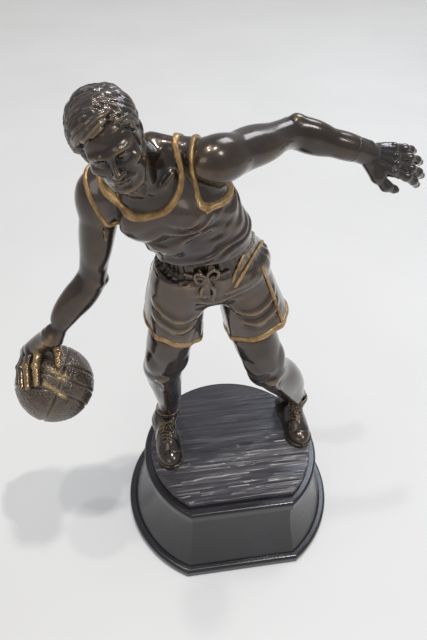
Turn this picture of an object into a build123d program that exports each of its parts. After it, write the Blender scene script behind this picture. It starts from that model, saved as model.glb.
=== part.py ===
# Cold-cast ball-player trophy: a bronze-finished player bouncing a basketball on a
# plank-textured court deck, bolted to a weighted, flared base with a flat front facet.
# Units are millimetres. +Z is up, the facet and the player face -Y, and the player's
# right is -X. The origin is at the middle of the base, on the underside of the felt pad.
from build123d import *

import os

os.makedirs("parts", exist_ok=True)

# ---------------------------------------------------------------- base sizes
# A "front" is the distance from the middle to the flat front edge.
FOOT_RADIUS, FOOT_FRONT = 50.0, 42.8    # foot moulding
RIM_RADIUS, RIM_FRONT = 40.8, 33.8      # top moulding
DECK_RADIUS, DECK_FRONT = 37.5, 29.6    # court deck
DECK_GAP = 0.2                          # round the deck, in its recess
COVER_RADIUS, COVER_FRONT = 45.9, 38.7  # hardboard cover
COVER_GAP = 0.3                         # round the cover, in its seat
FELT_INSET = 0.5                        # from the cover's edge to the felt's

FELT_THICKNESS = 1.0
SHELL_BOTTOM = 0.6                      # the felt stands proud of the shell
COVER_BOTTOM, COVER_THICKNESS = 1.2, 1.6
COVER_TOP = COVER_BOTTOM + COVER_THICKNESS
LIP_TOP = 4.4
BODY_TOP = 33.0
RIM_TOP = 37.4
HOLLOW_TOP = 31.0
DECK_BOTTOM, DECK_TOP = 35.4, 40.1
PLANK_PITCH, PLANK_JOINTS = 6.4, 9
JOINT_LENGTH, JOINT_WIDTH, JOINT_DEPTH = 72, 0.35, 0.3

# height, radius, front
WALL_SECTIONS = (
    (LIP_TOP - 0.6, 47.4, 40.3),
    (12.0, 44.2, 37.2),
    (22.0, 41.2, 34.4),
    (BODY_TOP + 0.4, 39.4, 32.5),
)
HOLLOW_SECTIONS = (
    (SHELL_BOTTOM, 44.4, 37.4),
    (12.0, 40.8, 33.8),
    (22.0, 37.8, 31.0),
    (HOLLOW_TOP, 36.2, 29.3),
)
BALLAST_SECTIONS = ((3.2, 40.6, 33.8), (12.0, 38.4, 31.6), (21.0, 36.0, 29.2))

# ---------------------------------------------------------------- fasteners
STUD_RADIUS = 1.25                      # M2.5 stud
STUD_HOLE_RADIUS = 1.40
STUD_BOTTOM, STUD_TOP = 26.6, 49.0
WASHER_RADIUS, WASHER_THICKNESS = 3.0, 0.6
NUT_RADIUS, NUT_HEIGHT = 2.85, 2.1      # radius to the corners
SNUG = 0.02                             # radial gap of the nuts and shoe sockets
SCREW_RADIUS = 1.06
PILOT_RADIUS = 1.12
BOSS_RADIUS, BOSS_HEIGHT = 3.2, 13.0
DOWEL_RADIUS = 1.0                      # steel dowel pins
DOWEL_HOLE_RADIUS = 1.05
DOWEL_END_GAP = 0.3

RIGHT_STUD, LEFT_STUD = (-27.4, 10.5), (31.6, 9.6)
STUDS = (RIGHT_STUD, LEFT_STUD)
DECK_SCREWS = ((0.0, 24.0), (-14.0, -16.0), (14.0, -16.0))
COVER_SCREWS = ((0.0, 38.6), (-33.4, -19.3), (33.4, -19.3))

# ------------------------------------------------------------ figure's skeleton
RIGHT_ANKLE = Vector(-26.8, 16.0, 52.0)
RIGHT_KNEE = Vector(-28.8, 3.0, 94.8)
RIGHT_HIP = Vector(-22.4, -1.2, 144.5)
LEFT_ANKLE = Vector(32.6, 14.0, 52.0)
LEFT_KNEE = Vector(13.0, -2.6, 92.6)
LEFT_HIP = Vector(-0.9, 1.2, 142.5)
WAIST = Vector(-15.0, -3.2, 160.0)
NECK = Vector(-31.9, -7.4, 191.0)
RIGHT_SHOULDER = Vector(-46.6, 1.5, 179.7)
LEFT_SHOULDER = Vector(-14.2, -10.4, 195.2)
RIGHT_ELBOW = Vector(-53.5, 3.3, 143.5)
RIGHT_WRIST = Vector(-69.6, 0.7, 120.0)
LEFT_ELBOW = Vector(15.8, 9.4, 191.8)
LEFT_WRIST = Vector(41.6, 8.0, 182.8)
HEAD = Vector(-41.3, -22.7, 207.5)
BALL = Vector(-73.5, 1.0, 93.8)
RIGHT_SOLE = Vector(-28.6, 4.6, DECK_TOP)  # middle of each sole
LEFT_SOLE = Vector(31.0, 5.2, DECK_TOP)

TO_LEFT, TO_BACK, UP = Vector(1, 0, 0), Vector(0, 1, 0), Vector(0, 0, 1)
WAIST_UP = Vector(-0.30, -0.03, 0.95).normalized()
SHOULDER_LINE = LEFT_SHOULDER - RIGHT_SHOULDER  # from right to left
CUFF_TOP = DECK_TOP + 11.4              # top plane of both shoes
HEM = 0.53                              # share of the thigh, from the knee up to the hem
WRIST_END = 0.96                        # share of the forearm where the hand begins


# ---------------------------------------------------------------- helpers
def toward(start, end, share):
    """The point a share of the way from start to end."""
    return start + (end - start) * share


def lean(side, normal):
    """The direction square to the unit vector normal that leans to side."""
    return (side - normal * side.dot(normal)).normalized()


def square_plane(origin, normal, side):
    """A plane at origin, square to normal, whose X leans to side."""
    z = normal.normalized()
    return Plane(origin=origin, x_dir=lean(side, z), z_dir=z)


def joint_plane(before, joint, after, side):
    """The mitre plane of a knee or elbow between two links of a limb."""
    z_before = (joint - before).normalized()
    z_after = (after - joint).normalized()
    return Plane(origin=joint, x_dir=lean(side, z_before), z_dir=(z_before + z_after).normalized())


def faceted_disc(radius, front):
    """Draw a disc with a flat front edge in the open sketch."""
    cutter_width, cutter_depth = 120, 40
    Circle(radius)
    with Locations((0, -front - cutter_depth / 2)):
        Rectangle(cutter_width, cutter_depth, mode=Mode.SUBTRACT)


def screws(places, profile, slot_bottom, slot_length, slot_depth):
    """Upright screws turned from a (radius, height) profile, with a cross slot below."""
    slot_width = 0.5
    with BuildPart() as turned:
        for x, y in places:
            with BuildSketch(Plane(origin=(x, y, 0), x_dir=(1, 0, 0), z_dir=(0, -1, 0))):
                with BuildLine():
                    Polyline(*profile, close=True)
                make_face()
            revolve(axis=Axis((x, y, 0), (0, 0, 1)))
            with BuildSketch(Plane.XY.offset(slot_bottom)):
                with Locations((x, y)):
                    Rectangle(slot_length, slot_width)
                    Rectangle(slot_width, slot_length)
            extrude(amount=slot_depth, mode=Mode.SUBTRACT)
    return turned.part


# ============================================================ base assembly
with BuildPart() as base_shell:
    # foot moulding
    with BuildSketch(Plane.XY.offset(SHELL_BOTTOM)):
        faceted_disc(FOOT_RADIUS, FOOT_FRONT)
    extrude(amount=LIP_TOP - SHELL_BOTTOM)
    fillet(base_shell.edges().group_by(Axis.Z)[-1], 1.5)
    # flared, slightly hollow wall
    for height, radius, front in WALL_SECTIONS:
        with BuildSketch(Plane.XY.offset(height)):
            faceted_disc(radius, front)
    loft()
    # top moulding
    with BuildSketch(Plane.XY.offset(BODY_TOP)):
        faceted_disc(RIM_RADIUS, RIM_FRONT)
    extrude(amount=RIM_TOP - BODY_TOP)
    fillet(base_shell.edges().group_by(Axis.Z)[-1], 1.4)
    # hollow underneath
    for height, radius, front in HOLLOW_SECTIONS:
        with BuildSketch(Plane.XY.offset(height)):
            faceted_disc(radius, front)
    loft(mode=Mode.SUBTRACT)
    # seat of the cover
    with BuildSketch(Plane.XY.offset(SHELL_BOTTOM)):
        faceted_disc(COVER_RADIUS + COVER_GAP, COVER_FRONT + COVER_GAP)
    extrude(amount=COVER_TOP - SHELL_BOTTOM, mode=Mode.SUBTRACT)
    # screw bosses for the cover
    with BuildSketch(Plane.XY.offset(COVER_TOP)):
        with Locations(*COVER_SCREWS):
            Circle(BOSS_RADIUS)
    extrude(amount=BOSS_HEIGHT)
    with BuildSketch(Plane.XY.offset(COVER_BOTTOM)):
        with Locations(*COVER_SCREWS):
            Circle(PILOT_RADIUS)
    extrude(amount=12.5, mode=Mode.SUBTRACT)
    # recess for the deck
    with BuildSketch(Plane.XY.offset(DECK_BOTTOM)):
        faceted_disc(DECK_RADIUS + DECK_GAP, DECK_FRONT + DECK_GAP)
    extrude(amount=RIM_TOP - DECK_BOTTOM, mode=Mode.SUBTRACT)
    # holes for the foot studs and the deck screws
    with BuildSketch(Plane.XY.offset(HOLLOW_TOP - 1)):
        with Locations(*STUDS):
            Circle(STUD_HOLE_RADIUS)
        with Locations(*DECK_SCREWS):
            Circle(1.3)
    extrude(amount=DECK_BOTTOM - HOLLOW_TOP + 2, mode=Mode.SUBTRACT)
    # clear room for the washers and nuts near the wall
    nut_room = 4.5
    with BuildSketch(Plane.XY.offset(HOLLOW_TOP - nut_room)):
        with Locations(*STUDS):
            Circle(WASHER_RADIUS + 0.7)
    extrude(amount=nut_room, mode=Mode.SUBTRACT)

with BuildPart() as court_deck:
    with BuildSketch(Plane.XY.offset(DECK_BOTTOM)):
        faceted_disc(DECK_RADIUS, DECK_FRONT)
    extrude(amount=DECK_TOP - DECK_BOTTOM)
    chamfer(court_deck.edges().group_by(Axis.Z)[-1], 0.5)
    # plank joints run from side to side
    with BuildSketch(Plane.XY.offset(DECK_TOP - JOINT_DEPTH)):
        with GridLocations(0, PLANK_PITCH, 1, PLANK_JOINTS):
            Rectangle(JOINT_LENGTH, JOINT_WIDTH)
    extrude(amount=1.0, mode=Mode.SUBTRACT)
    # through holes for the studs, blind holes for the screws
    with BuildSketch(Plane.XY.offset(DECK_BOTTOM - 0.5)):
        with Locations(*STUDS):
            Circle(STUD_HOLE_RADIUS)
    extrude(amount=DECK_TOP - DECK_BOTTOM + 1, mode=Mode.SUBTRACT)
    with BuildSketch(Plane.XY.offset(DECK_BOTTOM)):
        with Locations(*DECK_SCREWS):
            Circle(PILOT_RADIUS)
    extrude(amount=3.2, mode=Mode.SUBTRACT)

with BuildPart() as ballast:
    for height, radius, front in BALLAST_SECTIONS:
        with BuildSketch(Plane.XY.offset(height)):
            faceted_disc(radius, front)
    loft()
    # clearance round the bosses
    with BuildSketch(Plane.XY.offset(2.0)):
        with Locations(*COVER_SCREWS):
            Circle(BOSS_RADIUS + 0.4)
    extrude(amount=24, mode=Mode.SUBTRACT)

with BuildPart() as bottom_cover:
    with BuildSketch(Plane.XY.offset(COVER_BOTTOM)):
        faceted_disc(COVER_RADIUS, COVER_FRONT)
    extrude(amount=COVER_THICKNESS)
    # countersinks open downwards
    with Locations(*[Location((x, y, COVER_BOTTOM), (180, 0, 0)) for x, y in COVER_SCREWS]):
        CounterSinkHole(
            radius=1.35,
            counter_sink_radius=2.5,
            depth=COVER_THICKNESS,
            counter_sink_angle=90,
        )

with BuildPart() as felt_pad:
    with BuildSketch():
        faceted_disc(COVER_RADIUS - FELT_INSET, COVER_FRONT - FELT_INSET)
    extrude(amount=FELT_THICKNESS)

cover_screws = screws(
    COVER_SCREWS,
    profile=(
        (0, COVER_BOTTOM + 0.15), (2.1, COVER_BOTTOM + 0.15),
        (SCREW_RADIUS, COVER_BOTTOM + 1.2), (SCREW_RADIUS, 11.4), (0, 12.6),
    ),
    slot_bottom=COVER_BOTTOM,
    slot_length=2.4,
    slot_depth=0.8,
)
deck_screws = screws(
    DECK_SCREWS,
    profile=(
        (0, HOLLOW_TOP - 1.8), (1.9, HOLLOW_TOP - 1.8), (2.3, HOLLOW_TOP - 1.2),
        (2.3, HOLLOW_TOP), (SCREW_RADIUS, HOLLOW_TOP),
        (SCREW_RADIUS, DECK_BOTTOM + 2.2), (0, DECK_BOTTOM + 3.1),
    ),
    slot_bottom=HOLLOW_TOP - 1.9,
    slot_length=2.6,
    slot_depth=0.9,
)

with BuildPart() as foot_studs:
    with BuildSketch(Plane.XY.offset(STUD_BOTTOM)):
        with Locations(*STUDS):
            Circle(STUD_RADIUS)
    extrude(amount=STUD_TOP - STUD_BOTTOM)
    stud_faces = foot_studs.faces().sort_by(Axis.Z)
    chamfer(stud_faces[0].edges() + stud_faces[-1].edges(), 0.3)

with BuildPart() as stud_washers:
    with BuildSketch(Plane.XY.offset(HOLLOW_TOP - WASHER_THICKNESS)):
        with Locations(*STUDS):
            Circle(WASHER_RADIUS)
            Circle(STUD_RADIUS + 0.1, mode=Mode.SUBTRACT)
    extrude(amount=WASHER_THICKNESS)

with BuildPart() as stud_nuts:
    with BuildSketch(Plane.XY.offset(HOLLOW_TOP - WASHER_THICKNESS - NUT_HEIGHT)):
        with Locations(*STUDS):
            RegularPolygon(NUT_RADIUS, 6)
            Circle(STUD_RADIUS + SNUG, mode=Mode.SUBTRACT)
    extrude(amount=NUT_HEIGHT)

# ============================================================ shoes
SHOE_LENGTH, SHOE_WIDTH = 33.0, 13.0
SOLE_THICKNESS = 2.4
# height above the first section, shift towards the toe, half length, half width
UPPER_SECTIONS = (
    (0.0, 0.0, SHOE_LENGTH / 2 - 0.7, SHOE_WIDTH / 2 - 0.6),
    (4.2, -1.4, SHOE_LENGTH / 2 - 3.4, SHOE_WIDTH / 2 - 1.1),
    (7.0, -6.3, 8.6, 5.0),
    (9.6, -9.3, 5.9, 4.7),
)


def make_shoe(sole, stud, turn):
    """A shoe standing at sole, turned by some degrees about Z from facing -Y."""
    heading = Vector(0, -1, 0).rotate(Axis.Z, turn)
    with BuildPart() as shoe:
        # sole: ball of the foot, heel and the waist between them
        with BuildSketch(Plane(origin=sole, x_dir=heading, z_dir=UP)):
            with Locations((5.6, 0)):
                Ellipse(10.9, SHOE_WIDTH / 2)
            with Locations((-9.6, 0)):
                Circle(SHOE_WIDTH / 2 - 0.7)
            with Locations((-2.5, 0)):
                Rectangle(15, SHOE_WIDTH - 2.6)
        extrude(amount=SOLE_THICKNESS)
        # upper, from the vamp to the collar round the ankle
        upper_base = sole + Vector(0, 0, 1.8)
        for height, shift, half_length, half_width in UPPER_SECTIONS:
            centre = upper_base + heading * shift + Vector(0, 0, height)
            with BuildSketch(Plane(origin=centre, x_dir=heading, z_dir=UP)):
                Ellipse(half_length, half_width)
        loft()
        # socket of the foot stud
        with BuildSketch(Plane.XY.offset(DECK_TOP - 0.5)):
            with Locations(stud):
                Circle(STUD_RADIUS + SNUG)
        extrude(amount=STUD_TOP - DECK_TOP + 0.6, mode=Mode.SUBTRACT)
    return shoe


right_shoe = make_shoe(RIGHT_SOLE, RIGHT_STUD, turn=3.0)
left_shoe = make_shoe(LEFT_SOLE, LEFT_STUD, turn=4.0)

# ============================================================ legs and shorts
KNEE_SIZE = (7.2, 7.5)
# share from ankle to knee, half width, half depth, bulge to the back
CALF_SECTIONS = ((0.45, 6.0, 6.5, 1.6), (0.68, 7.0, 7.6, 2.2), (0.86, 6.6, 7.0, 1.0))
# share from knee to hip, half width, half depth
THIGH_SECTIONS = ((0.16, 7.7, 8.2), (HEM, 8.8, 9.6))
# share from hip to knee, half width, half depth
SHORTS_LEG_SECTIONS = (
    (-0.05, 9.2, 10.4), (0.14, 10.3, 11.4), (0.30, 11.1, 11.8), (1 - HEM, 11.9, 12.1),
)
# centre, half width, half depth, upward normal
SEAT_SECTIONS = (
    (Vector(-11.4, 0.4, 137.5), 15.4, 10.8, Vector(-0.02, 0, 1)),
    (Vector(-11.4, 0.8, 144.0), 18.6, 12.4, Vector(-0.06, 0, 1)),
    (Vector(-12.4, -0.4, 152.0), 17.4, 12.0, Vector(-0.16, 0, 1)),
    (WAIST, 14.8, 11.0, WAIST_UP),
)


def make_leg(ankle, knee, hip, side, shin_share, bulge_slant):
    """A bare leg from the shoe's cuff to the hem; the calf bulges to the back,
    and to the left by bulge_slant times as much."""
    knee_plane = joint_plane(ankle, knee, hip, side)
    with BuildPart() as leg:
        with BuildSketch(Plane(origin=(ankle.X, ankle.Y, CUFF_TOP), x_dir=TO_LEFT, z_dir=UP)):
            Ellipse(4.4, 4.8)
        for share, half_width, half_depth, bulge in ((shin_share, 4.7, 5.2, 0.6), *CALF_SECTIONS):
            centre = toward(ankle, knee, share) + Vector(bulge_slant * bulge, bulge, 0)
            with BuildSketch(square_plane(centre, knee - ankle, side)):
                Ellipse(half_width, half_depth)
        with BuildSketch(knee_plane):
            Ellipse(*KNEE_SIZE)
        loft()
        # thigh, from the knee up to the hem
        with BuildSketch(knee_plane):
            Ellipse(*KNEE_SIZE)
        for share, half_width, half_depth in THIGH_SECTIONS:
            with BuildSketch(square_plane(toward(knee, hip, share), hip - knee, side)):
                Ellipse(half_width, half_depth)
        loft()
    return leg


right_leg = make_leg(
    RIGHT_ANKLE, RIGHT_KNEE, RIGHT_HIP, side=TO_LEFT, shin_share=0.22, bulge_slant=0.0
)
left_leg = make_leg(
    LEFT_ANKLE, LEFT_KNEE, LEFT_HIP, side=Vector(1, 0.2, 0), shin_share=0.24, bulge_slant=0.4
)

with BuildPart() as shorts:
    # seat and waistband
    for centre, half_width, half_depth, normal in SEAT_SECTIONS:
        with BuildSketch(square_plane(centre, normal, TO_LEFT)):
            Ellipse(half_width, half_depth)
    loft()
    # two wide legs, down to the hems
    for knee, hip in ((RIGHT_KNEE, RIGHT_HIP), (LEFT_KNEE, LEFT_HIP)):
        for share, half_width, half_depth in SHORTS_LEG_SECTIONS:
            with BuildSketch(square_plane(toward(hip, knee, share), knee - hip, TO_LEFT)):
                Ellipse(half_width, half_depth)
        loft()

# ============================================================ torso and head
SHOULDER_BALL_RADIUS = 8.0
# centre, half width, half depth, upward normal, direction of the width
TORSO_SECTIONS = (
    (WAIST, 14.3, 10.4, WAIST_UP, TO_LEFT),
    (Vector(-20.6, -4.8, 170.5), 16.4, 11.2, Vector(-0.38, -0.12, 0.90), Vector(1, -0.18, 0.4)),
    (Vector(-26.0, -6.0, 180.0), 18.4, 11.6, Vector(-0.40, -0.14, 0.88),
     Vector(0.84, -0.30, 0.42)),
    (Vector(-29.6, -6.4, 186.6), 17.6, 9.6, Vector(-0.40, -0.16, 0.88), SHOULDER_LINE),
    (Vector(-31.4, -7.0, 190.6), 10.6, 7.2, Vector(-0.40, -0.24, 0.87), SHOULDER_LINE),
)
HEAD_UP = Vector(-0.36, -0.14, 0.92).normalized()
SKULL_BASE = -4.6
# height along HEAD_UP, shift to the face, half width, half depth
HEAD_SECTIONS = (
    (-11.5, 4.9, 2.8, 2.8),
    (-8.7, 2.5, 5.5, 6.0),
    (SKULL_BASE, 0.7, 7.2, 8.6),
    (0.0, 0.0, 8.4, 10.2),
    (4.6, -0.4, 9.2, 11.2),
    (8.8, -0.7, 7.8, 9.6),
    (11.8, -0.9, 4.2, 5.4),
)

with BuildPart() as torso:
    for centre, half_width, half_depth, normal, side in TORSO_SECTIONS:
        with BuildSketch(square_plane(centre, normal, side)):
            Ellipse(half_width, half_depth)
    loft()
    # seats of the two arms
    for shoulder in (RIGHT_SHOULDER, LEFT_SHOULDER):
        with Locations(shoulder):
            Sphere(SHOULDER_BALL_RADIUS + 0.05, mode=Mode.SUBTRACT)
    for shoulder, elbow in ((RIGHT_SHOULDER, RIGHT_ELBOW), (LEFT_SHOULDER, LEFT_ELBOW)):
        with BuildSketch(square_plane(shoulder, elbow - shoulder, TO_BACK)):
            Circle(7.4)
        extrude(amount=30, mode=Mode.SUBTRACT)

with BuildPart() as skull:
    face_dir = lean(TO_LEFT, HEAD_UP).cross(HEAD_UP).normalized()
    for height, shift, half_width, half_depth in HEAD_SECTIONS:
        centre = HEAD + HEAD_UP * height + face_dir * shift
        with BuildSketch(square_plane(centre, HEAD_UP, TO_LEFT)):
            Ellipse(half_width, half_depth)
    loft()

with BuildPart() as neck:
    # from the collar bones up into the skull
    neck_top = HEAD + HEAD_UP * SKULL_BASE + Vector(1.1, 4.2, 0)
    neck_bottom = NECK + Vector(0.4, 0.6, -1.6)
    for centre, half_width, half_depth in ((neck_bottom, 5.8, 5.8), (neck_top, 5.4, 5.6)):
        with BuildSketch(square_plane(centre, neck_top - neck_bottom, TO_LEFT)):
            Ellipse(half_width, half_depth)
    loft()

with BuildPart() as head:
    add(skull.part)
    add(neck.part)
    add(torso.part, mode=Mode.SUBTRACT)

# ============================================================ arms
# share from elbow to wrist, two half widths
FOREARM_SECTIONS = ((0.28, 5.3, 5.6), (0.62, 4.3, 4.6), (WRIST_END, 3.2, 3.9))


def make_arm(shoulder, elbow, wrist, side, upper_sections):
    """An arm with a ball at the shoulder; upper_sections holds (share, radius)."""
    with BuildPart() as arm:
        with Locations(shoulder):
            Sphere(SHOULDER_BALL_RADIUS)
        for share, radius in upper_sections:
            with BuildSketch(square_plane(toward(shoulder, elbow, share), elbow - shoulder, side)):
                Ellipse(radius, radius)
        with BuildSketch(joint_plane(shoulder, elbow, wrist, side)):
            Ellipse(5.3, 5.6)
        for share, half_x, half_y in FOREARM_SECTIONS:
            with BuildSketch(square_plane(toward(elbow, wrist, share), wrist - elbow, side)):
                Ellipse(half_x, half_y)
        loft()
    return arm


right_arm = make_arm(
    RIGHT_SHOULDER, RIGHT_ELBOW, RIGHT_WRIST, side=TO_BACK,
    upper_sections=((0.0, 6.4), (0.22, 6.9), (0.48, 6.5), (0.76, 5.5)),
)
left_arm = make_arm(
    LEFT_SHOULDER, LEFT_ELBOW, LEFT_WRIST, side=UP,
    upper_sections=((0.07, 6.6), (0.25, 6.8), (0.48, 6.5), (0.76, 5.5)),
)

# ============================================================ ball
BALL_RADIUS = 15.4
SEAM_POLE = Vector(0.316, -0.547, 0.775)       # from the middle to a crossing of the main seams
SEAM_AXIS = Vector(-0.3334, -0.8289, -0.4491)  # square to it, the axis of both side rings
SEAM_SHIFT, SEAM_RADIUS = 5.8, 0.35

with BuildPart() as ball:
    with Locations(BALL):
        Sphere(BALL_RADIUS)
    # sunk seams: two rings crossing at right angles and two side rings
    ring_axis = SEAM_AXIS.normalized()
    cross_axis = SEAM_POLE.normalized().cross(ring_axis)
    for axis, offset in (
        (cross_axis, 0.0), (ring_axis, 0.0), (ring_axis, SEAM_SHIFT), (ring_axis, -SEAM_SHIFT),
    ):
        ring_radius = (BALL_RADIUS**2 - offset**2) ** 0.5
        with Locations(Plane(origin=BALL + axis * offset, z_dir=axis)):
            Torus(ring_radius, SEAM_RADIUS, mode=Mode.SUBTRACT)

# ============================================================ hands
WRIST_CUT_RADIUS, WRIST_CUT_LENGTH = 9, 12
# centre, two half widths
RIGHT_PALM_SECTIONS = (
    (RIGHT_WRIST, 4.4, 3.2),
    (BALL + Vector(0.4, 2.6, 22.2), 5.6, 3.0),
    (BALL + Vector(-3.8, 5.2, 18.0), 7.2, 2.4),
)
RIGHT_PALM_DIR = BALL + Vector(-4.0, 6.0, 17.6) - RIGHT_WRIST
RIGHT_PALM_SIDE = Vector(-1, 0.6, -0.6)
# path from the ball's middle, radius
RIGHT_DIGITS = (
    (((-1.4, 5.4, 17.2), (-3.9, 1.4, 16.7), (-4.6, -5.5, 15.6), (-4.3, -11.4, 12.1)), 1.6),
    (((-4.4, 6.4, 17.0), (-7.8, 4.8, 14.9), (-9.0, -3.4, 14.2), (-8.2, -11.0, 10.2)), 1.65),
    (((-6.2, 6.8, 16.2), (-8.0, 8.0, 13.2), (-11.2, 6.0, 11.4), (-12.2, -3.0, 11.4),
      (-11.2, -9.8, 8.2)), 1.55),
    (((-7.4, 7.4, 15.6), (-10.6, 8.0, 11.4), (-13.6, 6.2, 8.4), (-14.6, -1.6, 8.6),
      (-13.8, -7.4, 6.8)), 1.4),
    (((1.8, 2.6, 20.6), (3.7, 0.8, 17.0), (3.9, -5.6, 15.8)), 1.75),
)
# distance from the wrist, two half widths
LEFT_PALM_SECTIONS = ((-1.2, 3.6, 3.0), (4.0, 5.2, 2.8), (9.6, 6.0, 2.2))
LEFT_HAND_DIR = Vector(0.965, -0.01, -0.25).normalized()
LEFT_HAND_SIDE = Vector(0.10, -0.62, -0.70)
LEFT_KNUCKLES = 8.8                     # distance from the wrist
# offset across the palm, reach from the wrist, bend of the tip, radius
LEFT_FINGERS = (
    (-4.6, 20.6, 0.6, 1.35), (-1.6, 22.8, 1.0, 1.5),
    (1.6, 22.6, 1.2, 1.5), (4.6, 20.8, 1.0, 1.45),
)


def digit(path, radius):
    """One finger: round links between the points of path, with round knuckles."""
    with BuildPart() as finger:
        for start, end in zip(path, path[1:]):
            with BuildSketch(Plane(origin=start, z_dir=(end - start).normalized())):
                Circle(radius)
            extrude(amount=(end - start).length)
        for point in path:
            with Locations(point):
                Sphere(radius)
    return finger.part


def wrist_cut_plane(elbow, wrist, side):
    """Start of the cut that ends where the hand casting begins."""
    plane_dir = (wrist - elbow).normalized()
    origin = toward(elbow, wrist, WRIST_END) - plane_dir * WRIST_CUT_LENGTH
    return square_plane(origin, plane_dir, side)


with BuildPart() as right_hand:
    for centre, half_x, half_y in RIGHT_PALM_SECTIONS:
        with BuildSketch(square_plane(centre, RIGHT_PALM_DIR, RIGHT_PALM_SIDE)):
            Ellipse(half_x, half_y)
    loft()
    for points, radius in RIGHT_DIGITS:
        add(digit([BALL + Vector(*point) for point in points], radius))
    with Locations(BALL):
        Sphere(BALL_RADIUS + 0.05, mode=Mode.SUBTRACT)
    with BuildSketch(wrist_cut_plane(RIGHT_ELBOW, RIGHT_WRIST, TO_BACK)):
        Circle(WRIST_CUT_RADIUS)
    extrude(amount=WRIST_CUT_LENGTH, mode=Mode.SUBTRACT)

# keep only the largest solid
right_hand.part = right_hand.part.solids().sort_by(SortBy.VOLUME)[-1]

with BuildPart() as left_hand:
    z = LEFT_HAND_DIR
    x = lean(LEFT_HAND_SIDE, z)
    y = z.cross(x)
    for distance, half_x, half_y in LEFT_PALM_SECTIONS:
        with BuildSketch(Plane(origin=LEFT_WRIST + z * distance, x_dir=x, z_dir=z)):
            Ellipse(half_x, half_y)
    loft()
    for offset, reach, bend, radius in LEFT_FINGERS:
        knuckle = LEFT_WRIST + z * LEFT_KNUCKLES + x * offset
        length = reach - LEFT_KNUCKLES
        middle = knuckle + z * length * 0.5 + x * offset * 0.18 + y * 0.5
        tip = knuckle + z * length + x * offset * 0.30 - y * bend
        add(digit([knuckle, middle, tip], radius))
    # thumb
    add(digit([
        LEFT_WRIST + z * 2.6 + x * 3.2,
        LEFT_WRIST + z * 6.0 + x * 7.4 - y * 0.6,
        LEFT_WRIST + z * 11.0 + x * 9.4 - y * 1.2,
    ], 1.6))
    with BuildSketch(wrist_cut_plane(LEFT_ELBOW, LEFT_WRIST, UP)):
        Circle(WRIST_CUT_RADIUS)
    extrude(amount=WRIST_CUT_LENGTH, mode=Mode.SUBTRACT)


# ============================================================ pins of the joints
def centred_pin(middle, direction, length):
    """A pin that reaches equally far to both sides of middle."""
    return middle - direction.normalized() * (length / 2), direction, length


def wrist_pin(elbow, wrist):
    return centred_pin(toward(elbow, wrist, WRIST_END), wrist - elbow, 9.0)


def rods(pins, radius, extra=0.0):
    """Round rods, one for each (start, direction, length); extra lengthens both ends."""
    with BuildPart() as rod:
        for start, direction, length in pins:
            normal = direction.normalized()
            with BuildSketch(Plane(origin=start - normal * extra, z_dir=normal)):
                Circle(radius)
            extrude(amount=length + 2 * extra)
    return rod.part


SHOULDER_DIR = SHOULDER_LINE.normalized()
BALL_PIN_DIR = Vector(-3.0, 4.4, 18.8)
PIN_FOOT = 5.5                          # depth of the ankle pins below the cuff

# name: (castings it joins, pins as start, direction, length)
DOWELS = {
    "neck_dowel": (
        ("head", "torso"),
        [centred_pin(NECK, Vector(-0.30, -0.42, 0.86), 13.0)],
    ),
    "shoulder_dowels": (
        ("right_arm", "left_arm", "torso"),
        [(RIGHT_SHOULDER + SHOULDER_DIR * 1.6, SHOULDER_DIR, 13.0),
         (LEFT_SHOULDER - SHOULDER_DIR * 1.6, SHOULDER_DIR * -1, 13.0)],
    ),
    "waist_dowel": (("torso", "shorts"), [centred_pin(WAIST, WAIST_UP, 18.0)]),
    "hip_dowels": (
        ("right_leg", "left_leg", "shorts"),
        [(toward(RIGHT_KNEE, RIGHT_HIP, 0.30), RIGHT_HIP - RIGHT_KNEE, 20.0),
         (toward(LEFT_KNEE, LEFT_HIP, 0.30), LEFT_HIP - LEFT_KNEE, 20.0)],
    ),
    "ankle_dowels": (
        ("right_leg", "left_leg", "right_shoe", "left_shoe"),
        [(Vector(RIGHT_ANKLE.X, RIGHT_ANKLE.Y, CUFF_TOP - PIN_FOOT), UP, 12.0),
         (Vector(LEFT_ANKLE.X, LEFT_ANKLE.Y, CUFF_TOP - PIN_FOOT), Vector(-0.10, -0.10, 1), 12.0)],
    ),
    "wrist_dowels": (
        ("right_arm", "left_arm", "right_hand", "left_hand"),
        [wrist_pin(RIGHT_ELBOW, RIGHT_WRIST), wrist_pin(LEFT_ELBOW, LEFT_WRIST)],
    ),
    "ball_dowel": (
        ("ball", "right_hand"),
        [(BALL + BALL_PIN_DIR.normalized() * 8.0, BALL_PIN_DIR, 10.5)],
    ),
}

castings = {
    "right_shoe": right_shoe, "left_shoe": left_shoe,
    "right_leg": right_leg, "left_leg": left_leg,
    "shorts": shorts, "torso": torso, "head": head,
    "right_arm": right_arm, "left_arm": left_arm,
    "right_hand": right_hand, "left_hand": left_hand, "ball": ball,
}
for users, pins in DOWELS.values():
    sockets = rods(pins, DOWEL_HOLE_RADIUS, DOWEL_END_GAP)
    for user in users:
        castings[user].part = castings[user].part - sockets

# ============================================================ export
finished = {
    "base_shell": base_shell.part, "court_deck": court_deck.part, "ballast": ballast.part,
    "bottom_cover": bottom_cover.part, "cover_screws": cover_screws,
    "felt_pad": felt_pad.part, "deck_screws": deck_screws, "foot_studs": foot_studs.part,
    "stud_washers": stud_washers.part, "stud_nuts": stud_nuts.part,
}
for name, casting in castings.items():
    finished[name] = casting.part
for name, (users, pins) in DOWELS.items():
    finished[name] = rods(pins, DOWEL_RADIUS)

for name, part in finished.items():
    part.label = name
    export_step(part, f"parts/{name}.step")
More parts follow.
